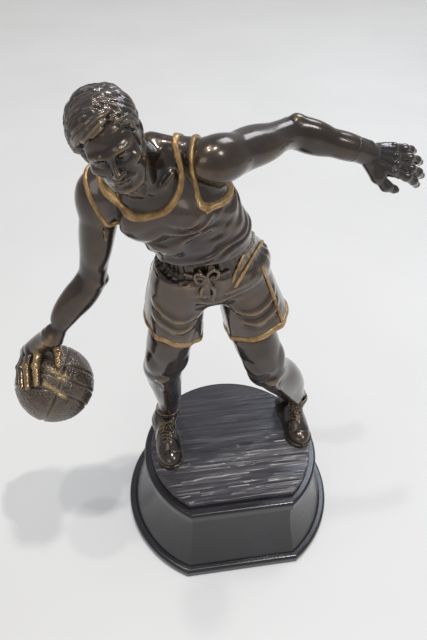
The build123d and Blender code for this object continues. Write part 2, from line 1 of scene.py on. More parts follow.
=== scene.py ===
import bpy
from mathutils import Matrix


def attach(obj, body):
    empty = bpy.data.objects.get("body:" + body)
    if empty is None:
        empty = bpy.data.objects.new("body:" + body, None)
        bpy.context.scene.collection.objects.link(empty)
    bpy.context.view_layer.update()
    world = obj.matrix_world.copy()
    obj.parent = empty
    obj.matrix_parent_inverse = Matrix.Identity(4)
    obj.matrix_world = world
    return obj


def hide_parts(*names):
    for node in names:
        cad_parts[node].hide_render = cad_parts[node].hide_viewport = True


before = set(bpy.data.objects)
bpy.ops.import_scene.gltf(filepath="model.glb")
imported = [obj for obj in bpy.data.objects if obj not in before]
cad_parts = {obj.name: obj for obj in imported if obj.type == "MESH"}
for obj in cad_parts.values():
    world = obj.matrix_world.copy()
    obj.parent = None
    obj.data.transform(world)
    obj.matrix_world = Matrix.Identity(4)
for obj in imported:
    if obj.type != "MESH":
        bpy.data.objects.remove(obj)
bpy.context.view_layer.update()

import copy
import math
from collections import namedtuple

import bpy
import numpy as np
from mathutils import Matrix, Vector, kdtree

MM = 0.001
# grid step of each kind of part, mm
STEP = dict(body=0.44, head=0.25, hand=0.3, shoe=0.33, deck=0.36)


# ============================================================ vector tools
def vec(*values):
    return np.array(values[0] if len(values) == 1 else values, float)


def unit(vector):
    vector = vec(vector)
    return vector / np.linalg.norm(vector)


def mix(start, end, share):
    return vec(start) + (vec(end) - vec(start)) * share


def square_to(vector, *axes):
    """Unit vector along the part of vector that is square to the unit axes."""
    vector = vec(vector)
    rest = vector
    for axis in axes:
        rest = rest - axis * (vector @ axis)
    return unit(rest)


def curve(points, count):
    """Points of a Catmull-Rom curve, or of a straight line between two points."""
    points = np.array(points, float)
    last = len(points) - 1
    place = np.linspace(0, last, count)
    if last == 1:
        return points[0] + (points[1] - points[0]) * place[:, None]
    i = np.clip(np.floor(place).astype(int), 0, last - 1)
    t = (place - i)[:, None]
    before, start = points[np.maximum(i - 1, 0)], points[i]
    end, after = points[i + 1], points[np.minimum(i + 2, last)]
    return 0.5 * (2 * start + (end - before) * t
                  + (2 * before - 5 * start + 4 * end - after) * t ** 2
                  + (3 * start - before - 3 * end + after) * t ** 3)


# ============================================================ the figure's skeleton, mm
R_ANKLE, R_KNEE, R_HIP = vec(-27.7, 16, 52), vec(-29.9, 3, 94.8), vec(-22.5, -2, 138.5)
L_ANKLE, L_KNEE, L_HIP = vec(34.2, 14.4, 52), vec(13, -2.6, 92.6), vec(-1.5, 0.5, 136)
WAIST, NECK = vec(-15.2, -3.6, 152), vec(-31.9, -7.4, 191)
R_SHOULDER, L_SHOULDER = vec(-46.1, 1.5, 179.7), vec(-14.3, -11.2, 193.2)
R_ELBOW, R_WRIST = vec(-53.1, 3.3, 143.5), vec(-69.9, 0.7, 120.2)
L_ELBOW, L_WRIST = vec(15.8, 9.5, 192.1), vec(41.6, 8.4, 183.3)
HEAD, HEAD_SCALE = vec(-41.3, -22.75, 207.55), 0.91
BALL, BALL_RADIUS = vec(-73.5, 1, 93.8), 15.4
DECK_TOP = 40.1
UP = vec(0, 0, 1)

TRUNK_UP = unit(NECK - WAIST)
TRUNK_LEFT = square_to(L_SHOULDER - R_SHOULDER, TRUNK_UP)
TRUNK_FRONT = -np.cross(TRUNK_UP, TRUNK_LEFT)

HEAD_UP = unit((-0.36, -0.14, 0.92))
HEAD_LEFT = square_to((1, 0, 0), HEAD_UP)
HEAD_FRONT = np.cross(HEAD_LEFT, HEAD_UP)


def trunk_at(left, up, front=0.0):
    """A point in the trunk's frame, from the base of the neck."""
    return NECK + TRUNK_LEFT * left + TRUNK_UP * up + TRUNK_FRONT * front


def head_direction(left, front, up):
    return HEAD_LEFT * left + HEAD_FRONT * front + HEAD_UP * up


def head_at(left, front, up):
    return HEAD + head_direction(left, front, up) * HEAD_SCALE


def head_path(points, side=1):
    """Points (left, front, up) of the head; side -1 mirrors them to its right."""
    return [head_at(side * left, front, up) for left, front, up in points]


# ============================================================ distance fields
def single(values):
    return values.astype(np.float32)


def shift(grid, origin):
    """The grid's coordinates, measured from origin."""
    return [values - place for values, place in zip(grid, origin)]


def dot(grid, direction):
    x, y, z = grid
    return x * direction[0] + y * direction[1] + z * direction[2]


def along(grid, direction, origin):
    """How far each sample lies from origin in a direction."""
    return dot(shift(grid, origin), direction)


def distance_to(grid, point):
    x, y, z = shift(grid, point)
    return np.sqrt(x ** 2 + y ** 2 + z ** 2)


def to_segment(grid, start, end):
    """Share of the segment at each sample's nearest point, and the squared distance to it."""
    run = end - start
    x, y, z = offset = shift(grid, start)
    share = np.clip(dot(offset, run) / max(run @ run, 1e-9), 0, 1)
    return share, (x - run[0] * share) ** 2 + (y - run[1] * share) ** 2 + (z - run[2] * share) ** 2


def soft_min(first, second, blend):
    t = np.clip(0.5 + 0.5 * (first - second) / blend, 0, 1)
    return first + (second - first) * t - blend * t * (1 - t)


def soft_max(first, second, blend):
    return -soft_min(-first, -second, blend)


class Field:
    """Signed distances in mm on a grid, negative inside the solid."""

    def __init__(self, low, high, step):
        self.low, self.step = vec(low), step
        self.count = np.ceil((vec(high) - self.low) / step).astype(int) + 1
        self.dist = np.full(self.count, 8.0, np.float32)
        self.axes = [single(self.low[i] + step * np.arange(self.count[i])) for i in range(3)]

    def grid(self, part=(slice(None),) * 3):
        x, y, z = (axis[piece_] for axis, piece_ in zip(self.axes, part))
        return x[:, None, None], y[None, :, None], z[None, None, :]

    def window(self, low, high):
        """Slices of the samples in a box, and their coordinates."""
        start = np.floor((vec(low) - self.low) / self.step).astype(int)
        end = np.ceil((vec(high) - self.low) / self.step).astype(int) + 1
        start, end = np.clip(start, 0, self.count - 1), np.clip(end, 1, self.count)
        part = tuple(slice(int(first), int(last)) for first, last in zip(start, end))
        return part, self.grid(part)

    def add(self, solid, blend=0.8):
        part, grid = self.window(solid.low - blend - 2.5, solid.high + blend + 2.5)
        dist = solid.distance(grid)
        if blend <= 0:
            self.dist[part] = np.minimum(self.dist[part], dist)
        else:
            self.dist[part] = soft_min(self.dist[part], dist, blend)

    def cut(self, solid, blend):
        part, grid = self.window(solid.low - blend - 2.5, solid.high + blend + 2.5)
        self.dist[part] = soft_max(self.dist[part], -solid.distance(grid), blend)

    def trim(self, limit, blend):
        """Keeps only what lies where limit is negative."""
        self.dist = soft_max(self.dist, limit, blend)

    def ridge(self, path, height, width, taper=True, reach=3.0):
        """Raises (height > 0) or sinks the surface along a path, over a half width."""
        path = [vec(point) for point in path]
        part, grid = self.window(np.min(path, 0) - reach * width, np.max(path, 0) + reach * width)
        best = np.full(np.broadcast(*grid).shape, 1e9, np.float32)
        strength = np.zeros_like(best)
        count = len(path) - 1
        for i in range(count):
            t, dist = to_segment(grid, path[i], path[i + 1])
            near = dist < best
            best = np.where(near, dist, best)
            done = (i + t) / count
            faded = np.clip(np.minimum(done, 1 - done) * 5, 0, 1) if taper else 1.0
            strength = np.where(near, faded, strength)
        self.dist[part] -= single(height * strength * np.exp(-best / (width * width)))

    def value(self, points):
        """Trilinear value at points (n, 3)."""
        place = (vec(points) - self.low) / self.step
        cell = np.clip(np.floor(place).astype(int), 0, self.count - 2)
        t = np.clip(place - cell, 0, 1)
        total = 0
        for corner in np.ndindex(2, 2, 2):
            share = np.where(corner, t, 1 - t)
            weight = share[:, 0] * share[:, 1] * share[:, 2]
            total = total + weight * self.dist[tuple((cell + corner).T)]
        return total

    def like(self, dist):
        """A field on the same grid with other distances."""
        other = copy.copy(self)
        other.dist = dist
        return other


Solid = namedtuple("Solid", "low high distance")


def capsule(start, end, start_radius, end_radius=None):
    start, end = vec(start), vec(end)
    end_radius = start_radius if end_radius is None else end_radius

    def distance(grid):
        share, squared = to_segment(grid, start, end)
        return np.sqrt(squared) - (start_radius + (end_radius - start_radius) * share)
    return Solid(np.minimum(start - start_radius, end - end_radius),
                 np.maximum(start + start_radius, end + end_radius), distance)


def tube(points, radii):
    """A round tube through the points; radii is a number or one per point."""
    radii = [radii] * len(points) if np.isscalar(radii) else list(radii)
    parts = [capsule(points[i], points[i + 1], radii[i], radii[i + 1])
             for i in range(len(points) - 1)]

    def distance(grid):
        dist = parts[0].distance(grid)
        for part in parts[1:]:
            dist = np.minimum(dist, part.distance(grid))
        return dist
    return Solid(np.min([p.low for p in parts], 0), np.max([p.high for p in parts], 0), distance)


def ellipsoid(center, radii, x_axis=(1, 0, 0), z_axis=(0, 0, 1)):
    """An ellipsoid with radii along x_axis, along z_axis cross x_axis, and along z_axis."""
    center, radii = vec(center), vec(radii)
    z_axis = unit(z_axis)
    x_axis = square_to(x_axis, z_axis)
    axes = np.stack([x_axis, np.cross(z_axis, x_axis), z_axis])
    extent = np.sqrt(((axes * radii[:, None]) ** 2).sum(0))

    def distance(grid):
        offset = shift(grid, center)
        size = slope = 0
        for axis, radius in zip(axes, radii):
            share = dot(offset, axis) / radius
            size = size + share * share
            slope = slope + (share / radius) ** 2
        size = np.sqrt(size)
        return size * (size - 1) / np.maximum(np.sqrt(slope), 1e-6)
    return Solid(center - extent, center + extent, distance)


def head_ellipsoid(center, radii, tilt=(0, 0, 1), side=(1, 0, 0)):
    return ellipsoid(head_at(*center), vec(radii) * HEAD_SCALE,
                     head_direction(*side), head_direction(*tilt))


def smooth_rows(rows):
    """Resamples table rows (station, values...) evenly and rounds their corners."""
    count, half, passes = 97, 4, 2
    rows = np.array(rows, float)
    stations = np.linspace(rows[0, 0], rows[-1, 0], count)
    table = np.stack([np.interp(stations, rows[:, 0], column) for column in rows[:, 1:].T], 1)
    kernel = np.ones(2 * half + 1) / (2 * half + 1)
    for _ in range(passes):
        padded = np.concatenate([2 * table[:1] - table[1:half + 1][::-1], table,
                                 2 * table[-1:] - table[-half - 1:-1][::-1]])
        table = np.stack([np.convolve(column, kernel, "valid") for column in padded.T], 1)
    return stations, table


class Loft:
    """Elliptical sections (point, half side, half depth, side direction) along a straight axis."""

    def __init__(self, sections, axis=None, cap_blend=0.8):
        points = [vec(section[0]) for section in sections]
        self.axis = unit(points[-1] - points[0] if axis is None else axis)
        # table columns: centre 0-2, side direction 3-5, half side 6, half depth 7
        self.stations, self.table = smooth_rows(
            [[point @ self.axis, *point, *square_to(side, self.axis), half_side, half_depth]
             for point, (_, half_side, half_depth, side) in zip(points, sections)])
        self.length = self.stations[-1] - self.stations[0]
        self.cap_blend = cap_blend
        center = self.table[:, 0:3]
        radius = np.maximum(self.table[:, 6], self.table[:, 7])[:, None]
        self.low, self.high = (center - radius).min(0) - 1, (center + radius).max(0) + 1

    def row_at(self, station):
        return [np.interp(station, self.stations, self.table[:, i]) for i in range(8)]

    def split(self, offset, side):
        """Parts of an offset along the side direction and across it."""
        a = self.axis
        across = (a[1] * side[2] - a[2] * side[1], a[2] * side[0] - a[0] * side[2],
                  a[0] * side[1] - a[1] * side[0])
        return dot(offset, side), dot(offset, across)

    def distance(self, grid):
        station = single(dot(grid, self.axis))
        row = [single(column) for column in self.row_at(station)]
        offset = shift(grid, row[:3])
        excess = dot(offset, self.axis)
        offset = [values - part * excess for values, part in zip(offset, self.axis)]
        across, deep = self.split(offset, row[3:6])
        size = np.sqrt((across / row[6]) ** 2 + (deep / row[7]) ** 2)
        slope = np.sqrt((across / row[6] ** 2) ** 2 + (deep / row[7] ** 2) ** 2)
        dist = size * (size - 1) / np.maximum(slope, 1e-6)
        dist = soft_max(dist, station - self.stations[-1], self.cap_blend)
        return soft_max(dist, self.stations[0] - station, self.cap_blend)

    def polar(self, grid):
        """Angle round the loft (degrees, as in at) and share of its length, at every sample."""
        station = dot(grid, self.axis)
        row = self.row_at(station)
        across, deep = self.split(shift(grid, row[:3]), row[3:6])
        angle = np.degrees(np.arctan2(deep / row[7], across / row[6]))
        return angle, (station - self.stations[0]) / self.length

    def at(self, share, degrees, lift=0.0):
        """Surface point at a share of the length, turned from the side towards axis cross side."""
        station = self.stations[0] + self.length * share
        row = np.array(self.row_at(station))
        center = row[0:3]
        center = center + self.axis * (station - center @ self.axis)
        side = square_to(row[3:6], self.axis)
        deep = np.cross(self.axis, side)
        cosine, sine = math.cos(math.radians(degrees)), math.sin(math.radians(degrees))
        normal = side * cosine / row[6] + deep * sine / row[7]
        return center + side * row[6] * cosine + deep * row[7] * sine + unit(normal) * lift

    def middle(self, share):
        return self.at(share, 0) * 0.5 + self.at(share, 180) * 0.5

    def line(self, points, count=14, lift=0.0):
        """A smooth path on the surface through (share, degrees) pairs."""
        return [self.at(share, degrees, lift) for share, degrees in curve(points, count)]


def limb(start, end, side, stations, cap_blend):
    """A loft between two joints; stations are (share, half side, half depth)."""
    return Loft([(mix(start, end, share), wide, deep, side) for share, wide, deep in stations],
                cap_blend=cap_blend)


def fold(field, loft, points, height, width, groove, slip, count, lift):
    """A fold along (share, degrees) points, with a groove (height, width) slipped beside it."""
    field.ridge(loft.line(points, count, lift), height, width)
    slipped = [(share + slip[0], degrees + slip[1]) for share, degrees in points]
    field.ridge(loft.line(slipped, count, lift), *groove)


def even(shell, values):
    """Makes values a distance along the shell's surface, so a band round zero has one width."""
    slope = np.gradient(values, shell.step)
    normal = np.gradient(shell.dist, shell.step)
    normal2 = normal[0] ** 2 + normal[1] ** 2 + normal[2] ** 2 + 1e-9
    slope2 = slope[0] ** 2 + slope[1] ** 2 + slope[2] ** 2
    both = slope[0] * normal[0] + slope[1] * normal[1] + slope[2] * normal[2]
    floor = np.maximum(0.12 * slope2, 0.05)
    return single(values / np.sqrt(np.maximum(slope2 - both * both / normal2, floor)))


def wrap(shell, band, lift, edge_blend, depth, inner_blend):
    """A thin layer over the shell where band is negative."""
    layer = shell.like(soft_max(shell.dist - lift, band, edge_blend))
    layer.trim(-(shell.dist + depth), inner_blend)
    return layer


def noise(x, y, z, seed):
    """Smooth value noise in 0..1 on arrays."""
    def scatter(i, j, k):
        value = np.sin(i * 127.1 + j * 311.7 + k * 74.7 + seed * 19.19) * 43758.5453
        return value - np.floor(value)
    x, y, z = np.broadcast_arrays(*(np.asarray(v, np.float64) for v in (x, y, z)))
    i, j, k = np.floor(x), np.floor(y), np.floor(z)
    a, b, c = (t * t * (3 - 2 * t) for t in (x - i, y - j, z - k))
    total = 0
    for dx, dy, dz in np.ndindex(2, 2, 2):
        total = total + (scatter(i + dx, j + dy, k + dz) * (a if dx else 1 - a)
                         * (b if dy else 1 - b) * (c if dz else 1 - c))
    return total


# ============================================================ field to mesh
def surface_nets(field):
    """Vertices (mm) and quads of the zero surface of a field."""
    dist = field.dist.copy()
    for axis in range(3):
        for end in (0, -1):
            face = (slice(None),) * axis + (end,)
            dist[face] = np.maximum(dist[face], 0.2)
    inside = dist < 0
    filled = np.zeros(tuple(np.array(dist.shape) - 1), np.uint8)
    for corner in np.ndindex(2, 2, 2):
        filled += inside[tuple(slice(d, n - 1 + d) for d, n in zip(corner, dist.shape))]
    cells = np.argwhere((filled > 0) & (filled < 8))
    index = np.full(filled.shape, -1, np.int32)
    index[tuple(cells.T)] = np.arange(len(cells))
    corners = {corner: dist[tuple((cells + corner).T)].astype(np.float64)
               for corner in np.ndindex(2, 2, 2)}
    total, crossings = np.zeros((len(cells), 3)), np.zeros(len(cells))
    for corner, here in corners.items():
        for axis in range(3):
            if corner[axis]:
                continue
            there = corners[corner[:axis] + (1,) + corner[axis + 1:]]
            crossed = (here < 0) != (there < 0)
            share = np.where(crossed, here / np.where(here == there, 1, here - there), 0)
            for i in range(3):
                total[:, i] += np.where(crossed, (share if i == axis else corner[i]), 0)
            crossings += crossed
    points = field.low + (cells + total / crossings[:, None]) * field.step
    quads = []
    for axis in range(3):
        first = inside[(slice(None),) * axis + (slice(0, -1),)]
        second = inside[(slice(None),) * axis + (slice(1, None),)]
        u, w = [i for i in range(3) if i != axis]
        edges = np.argwhere(first != second)
        edges = edges[(edges[:, u] > 0) & (edges[:, w] > 0)
                      & (edges[:, u] < dist.shape[u] - 1) & (edges[:, w] < dist.shape[w] - 1)]
        around = []
        for du, dw in ((1, 1), (0, 1), (0, 0), (1, 0)):
            cell = edges.copy()
            cell[:, u] -= du
            cell[:, w] -= dw
            around.append(index[tuple(cell.T)])
        quad = np.stack(around, 1)
        backward = first[tuple(edges.T)] == (axis == 1)
        quad[backward] = quad[backward][:, ::-1]
        quads.append(quad)
    return points, np.concatenate(quads)


def links_of(quads, count):
    """Both ends of every edge, and the number of edges at each vertex."""
    edges = np.concatenate([quads[:, [0, 1]], quads[:, [1, 2]], quads[:, [2, 3]], quads[:, [3, 0]]])
    edges = np.sort(edges, 1)
    edges = np.unique(edges[:, 0].astype(np.int64) * count + edges[:, 1])
    start, end = (edges // count).astype(np.int64), (edges % count).astype(np.int64)
    degree = np.bincount(start, minlength=count) + np.bincount(end, minlength=count)
    return start, end, np.maximum(degree, 1)


def relax(points, links, steps, rate=0.6):
    """Moves every vertex towards the mean of its neighbours."""
    start, end, degree = links
    points = points.copy()
    count = len(points)
    for _ in range(steps):
        total = np.stack([np.bincount(start, points[end, i], count)
                          + np.bincount(end, points[start, i], count) for i in range(3)], 1)
        points += rate * (total / degree[:, None] - points)
    return points


def normals_of(points, quads):
    across = points[quads[:, 2]] - points[quads[:, 0]]
    face = np.cross(across, points[quads[:, 3]] - points[quads[:, 1]])
    normals = np.zeros_like(points)
    for i in range(4):
        for k in range(3):
            normals[:, k] += np.bincount(quads[:, i], face[:, k], len(points))
    return normals / np.maximum(np.linalg.norm(normals, axis=1), 1e-12)[:, None]


def drop_specks(points, quads, keep_all=False):
    """Keeps shells of 60 vertices or more and, without keep_all, 4 % of the largest."""
    count = len(points)
    start, end, _ = links_of(quads, count)
    label = np.arange(count)
    while True:
        lowest = np.minimum(label[start], label[end])
        new = label.copy()
        np.minimum.at(new, start, lowest)
        np.minimum.at(new, end, lowest)
        new = new[new]
        if np.array_equal(new, label):
            break
        label = new
    size = np.bincount(label, minlength=count)
    good = size[label] >= (60 if keep_all else max(60, int(size.max() * 0.04)))
    renumber = np.cumsum(good) - 1
    return points[good], renumber[quads[good[quads].all(1)]]


def gilding_and_glints(points, strokes):
    """Painted touches of gold, and painted glints on the ball; strokes are (path, radius, strength).
    """
    amount = np.zeros(len(points))
    for path, radius, strength in strokes:
        path = np.array([vec(point) for point in path])
        low, high = path.min(0) - 3 * radius, path.max(0) + 3 * radius
        near = np.where(((points > low) & (points < high)).all(1))[0]
        if not len(near):
            continue
        close = points[near]
        best = np.full(len(near), 1e9)
        for start, end in zip(path, path[1:]):
            run = end - start
            t = np.clip(((close - start) @ run) / max(run @ run, 1e-9), 0, 1)
            best = np.minimum(best, np.linalg.norm(close - start - t[:, None] * run, axis=1))
        amount[near] = np.maximum(amount[near], strength * np.exp(-(best / radius) ** 2))
    return amount


def add_mesh(name, points, quads, material, slot, nodes=(), calm=None, gilt=()):
    """A mesh from vertices in mm, with wear attributes, riding on root.

    calm is a cut between neighbouring castings where no edge wear is wanted:
    (point, normal, half width, reach).
    """
    mesh = bpy.data.meshes.new(name)
    mesh.vertices.add(len(points))
    mesh.vertices.foreach_set("co", (points * MM).astype(np.float32).ravel())
    mesh.loops.add(quads.size)
    mesh.loops.foreach_set("vertex_index", quads.astype(np.int32).ravel())
    mesh.polygons.add(len(quads))
    mesh.polygons.foreach_set("loop_start", (np.arange(len(quads)) * 4).astype(np.int32))
    mesh.polygons.foreach_set("loop_total", np.full(len(quads), 4, np.int32))
    mesh.polygons.foreach_set("use_smooth", np.ones(len(quads), bool))
    mesh.update(calc_edges=True)
    mesh.validate()

    # wear is the height of the surface over a relaxed copy of itself
    links = links_of(quads, len(points))
    normals = normals_of(points, quads)
    edge = np.linalg.norm(points[links[0]] - points[links[1]], axis=1).mean()
    wide_steps = int(min(60, max(8, (1.5 / edge) ** 2 * 1.6)))
    fine, wide = (((points - relax(points, links, steps)) * normals).sum(1)
                  for steps in (4, wide_steps))
    if calm:
        center, normal, half_width, reach = calm
        fade = np.clip(np.abs((points - center) @ normal) / half_width, 0, 1) ** 2
        fade = np.where(np.linalg.norm(points - center, axis=1) < reach, fade, 1.0)
        fine, wide = fine * fade, wide * fade
    for label, values in (("wear_fine", fine), ("wear_wide", wide),
                          ("gilt", gilding_and_glints(points, gilt))):
        attribute = mesh.attributes.new(label, "FLOAT", "POINT")
        attribute.data.foreach_set("value", values.astype(np.float32))
    thing = bpy.data.objects.new(name, mesh)
    bpy.context.scene.collection.objects.link(thing)
    mesh.materials.append(material)
    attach(thing, "root")
    if nodes:
        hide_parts(*nodes)


def piece(name, field, material, slot, nodes=(), keep_all=False, **extra):
    """Meshes a field and evens its vertices without shrinking it."""
    points, quads = drop_specks(*surface_nets(field), keep_all)
    links = links_of(quads, len(points))
    for rate in (0.5, -0.5):
        points = relax(points, links, 1, rate)
    add_mesh(name, points, quads, material, slot, nodes, **extra)


def figure_piece(name, field, material, *nodes, **extra):
    piece(name, field, material, "bronze_figure", nodes, **extra)


def gold_piece(name, field, **extra):
    piece(name, field, GOLD_PAINT, "gold_trim", **extra)


# ============================================================ materials
class Look:
    """A new material with one Principled shader, and tools to build its nodes."""

    def __init__(self, name):
        self.material = bpy.data.materials.new(name)
        self.material.use_nodes = True
        self.tree = self.material.node_tree
        self.tree.nodes.clear()
        output = self.node("ShaderNodeOutputMaterial")
        self.shader = self.node("ShaderNodeBsdfPrincipled")
        self.tree.links.new(self.shader.outputs[0], output.inputs[0])

    def node(self, kind):
        return self.tree.nodes.new(kind)

    def feed(self, socket, value):
        """Sets a socket to a number or an RGB colour, or links an output to it."""
        if isinstance(value, (int, float)):
            socket.default_value = value
        elif isinstance(value, tuple):
            socket.default_value = (*value, 1)
        else:
            self.tree.links.new(value, socket)

    def shade(self, settings):
        for name, value in settings.items():
            self.feed(self.shader.inputs[name], value)

    def coords(self, scale=(1, 1, 1)):
        source, mapping = self.node("ShaderNodeTexCoord"), self.node("ShaderNodeMapping")
        mapping.inputs["Scale"].default_value = scale
        self.feed(mapping.inputs[0], source.outputs["Object"])
        return mapping.outputs[0]

    def noise(self, vector, scale, detail=4.0, roughness=0.55):
        texture = self.node("ShaderNodeTexNoise")
        for name, value in (("Scale", scale), ("Detail", detail), ("Roughness", roughness),
                            ("Vector", vector)):
            self.feed(texture.inputs[name], value)
        return texture.outputs[0]

    def attribute(self, name):
        node = self.node("ShaderNodeAttribute")
        node.attribute_name = name
        return node.outputs["Fac"]

    def ramp(self, source, stops):
        node = self.node("ShaderNodeValToRGB")
        elements = node.color_ramp.elements
        while len(elements) > 1:
            elements.remove(elements[-1])
        for i, (position, color) in enumerate(stops):
            element = elements[0] if i == 0 else elements.new(position)
            element.position = position
            element.color = (*color, 1)
        self.feed(node.inputs[0], source)
        return node.outputs[0]

    def calc(self, operation, first, second, clamp):
        node = self.node("ShaderNodeMath")
        node.operation, node.use_clamp = operation, clamp
        self.feed(node.inputs[0], first)
        self.feed(node.inputs[1], second)
        return node.outputs[0]

    def add(self, first, second, clamp=False):
        return self.calc("ADD", first, second, clamp)

    def multiply(self, first, second):
        return self.calc("MULTIPLY", first, second, False)

    def blend(self, share, first, second):
        node = self.node("ShaderNodeMix")
        node.data_type = "RGBA"
        for i, value in ((0, share), (6, first), (7, second)):
            self.feed(node.inputs[i], value)
        return node.outputs[2]

    def mapped(self, value, low, high):
        """Value as a clamped share of the way from low to high."""
        node = self.node("ShaderNodeMapRange")
        node.clamp = True
        self.feed(node.inputs[1], low)
        self.feed(node.inputs[2], high)
        self.feed(node.inputs[0], value)
        return node.outputs[0]

    def bumps(self, *layers):
        """Bump nodes one over another, each (height, strength, distance in metres)."""
        below = None
        for height, strength, distance in layers:
            node = self.node("ShaderNodeBump")
            self.feed(node.inputs["Strength"], strength)
            self.feed(node.inputs["Distance"], distance)
            self.feed(node.inputs["Height"], height)
            if below is not None:
                self.feed(node.inputs["Normal"], below)
            below = node.outputs[0]
        self.feed(self.shader.inputs["Normal"], below)


DARK, MID, GOLD = (0.0095, 0.0080, 0.0080), (0.041, 0.0315, 0.0275), (0.36, 0.225, 0.105)


def bronze(name, gold_amount, ridges, roughness, coat=0.5, dark=DARK, mid=MID, gold=GOLD):
    """Antique bronze paint under a clear lacquer.

    dark fills the hollows, mid the open surfaces, and gold is rubbed on the ridges,
    from the first to the second wide wear (mm) of ridges.
    """
    look = Look(name)
    vector = look.coords()
    wide, fine = look.attribute("wear_wide"), look.attribute("wear_fine")
    blotch = look.noise(vector, scale=90.0, detail=3.0, roughness=0.6)
    grit = look.noise(vector, scale=900.0, detail=4.0, roughness=0.65)
    color = look.blend(look.mapped(wide, -0.22, 0.05), dark, mid)
    warmer = tuple(0.80 * a + 0.20 * b for a, b in zip(mid, gold))
    color = look.blend(look.multiply(look.mapped(blotch, 0.35, 0.72), 0.40), color, warmer)
    ridge = look.add(look.mapped(wide, *ridges), look.mapped(fine, 0.025, 0.09))
    broken = look.add(look.multiply(blotch, 0.9), look.multiply(grit, 0.55))
    rub = look.multiply(ridge, look.mapped(broken, 0.45, 0.95))
    rub = look.multiply(rub, gold_amount)
    # painted gold touches, and on the ball painted glints where its seams cross
    gold_and_glint_touches = look.multiply(look.attribute("gilt"), look.mapped(broken, 0.25, 0.75))
    rub = look.add(rub, gold_and_glint_touches, clamp=True)
    uneven = look.add(look.multiply(blotch, 0.18), roughness - 0.08)
    look.shade({
        "Base Color": look.blend(rub, color, gold), "Metallic": 0.75,
        "Roughness": look.add(uneven, look.multiply(grit, 0.08)),
        "Coat Weight": coat, "Coat Roughness": 0.12})
    dents = look.noise(vector, scale=260.0, detail=3.0)
    look.bumps((grit, 0.22, 0.00006), (dents, 0.25, 0.00012))
    return look.material


def gold_paint(name):
    look = Look(name)
    vector = look.coords()
    patches = look.noise(vector, scale=220.0, detail=4.0, roughness=0.6)
    grit = look.noise(vector, scale=1100.0, detail=3.0, roughness=0.6)
    look.shade({
        "Base Color": look.ramp(patches, [(0.30, (0.15, 0.088, 0.038)),
                                          (0.48, (0.35, 0.21, 0.088)),
                                          (0.70, (0.52, 0.335, 0.155))]),
        "Metallic": 0.7, "Roughness": look.add(look.multiply(grit, 0.2), 0.28),
        "Coat Weight": 0.25})
    look.bumps((grit, 0.3, 0.00006))
    return look.material


def court_wood(name):
    """Dark boards: smooth and purplish at the back, dry-brushed with pale grain in front."""
    look = Look(name)
    fine = look.noise(look.coords((46, 1250, 46)), scale=1.0, detail=3.0, roughness=0.62)
    broad = look.noise(look.coords((20, 430, 20)), scale=1.0, detail=4.0, roughness=0.6)
    cloud = look.noise(look.coords(), scale=55.0, detail=3.0)
    place = look.node("ShaderNodeSeparateXYZ")
    look.feed(place.inputs[0], look.coords())
    front = look.mapped(place.outputs[1], 0.014, -0.010)
    gate = look.add(look.multiply(front, 0.85), 0.15)
    color = look.blend(look.mapped(cloud, 0.35, 0.65),
                       (0.017, 0.0135, 0.0185), (0.036, 0.029, 0.037))
    brushed = look.multiply(look.mapped(broad, 0.50, 0.68),
                            look.add(look.multiply(front, 0.50), 0.06))
    color = look.blend(brushed, color, (0.20, 0.185, 0.18))
    pale = look.multiply(look.mapped(fine, 0.57, 0.70), look.mapped(broad, 0.42, 0.60))
    pale = look.multiply(look.multiply(pale, gate), 0.9)
    look.shade({
        "Base Color": look.blend(pale, color, (0.40, 0.37, 0.34)),
        "Roughness": look.add(look.multiply(broad, 0.25), 0.24),
        "Coat Weight": 0.45, "Coat Roughness": 0.25})
    look.bumps((fine, 0.35, 0.00012), (broad, 0.35, 0.0002))
    return look.material


def black_resin(name, color):
    look = Look(name)
    vector = look.coords()
    cloud = look.noise(vector, scale=35.0, detail=4.0, roughness=0.6)
    grit = look.noise(vector, scale=700.0, detail=4.0, roughness=0.6)
    look.shade({
        "Base Color": look.ramp(cloud, [(0.30, tuple(c * 0.75 for c in color)), (0.55, color),
                                        (0.80, tuple(c * 1.7 for c in color))]),
        "Roughness": look.add(look.multiply(cloud, 0.20), 0.16),
        "Coat Weight": 0.3, "Coat Roughness": 0.12})
    swell = look.noise(vector, scale=60.0, detail=3.0)
    look.bumps((grit, 0.10, 0.00006), (swell, 0.35, 0.0006))
    return look.material


def steel(name):
    look = Look(name)
    streaks = look.noise(look.coords((1, 1, 12)), scale=600.0, detail=4.0)
    look.shade({
        "Base Color": look.ramp(streaks, [(0.3, (0.35, 0.35, 0.36)), (0.7, (0.62, 0.62, 0.63))]),
        "Metallic": 1.0, "Roughness": look.add(look.multiply(streaks, 0.2), 0.22)})
    look.bumps((streaks, 0.2, 0.00004))
    return look.material


def matte(name, low, high, scale, roughness=0.85, strength=0.5, distance=0.0002,
          stretch=(1, 1, 1)):
    """Dull stuff mottled between two colours."""
    look = Look(name)
    mottle = look.noise(look.coords(stretch), scale, detail=5.0, roughness=0.65)
    look.shade({"Base Color": look.ramp(mottle, [(0.3, low), (0.7, high)]),
                "Roughness": roughness})
    look.bumps((mottle, strength, distance))
    return look.material


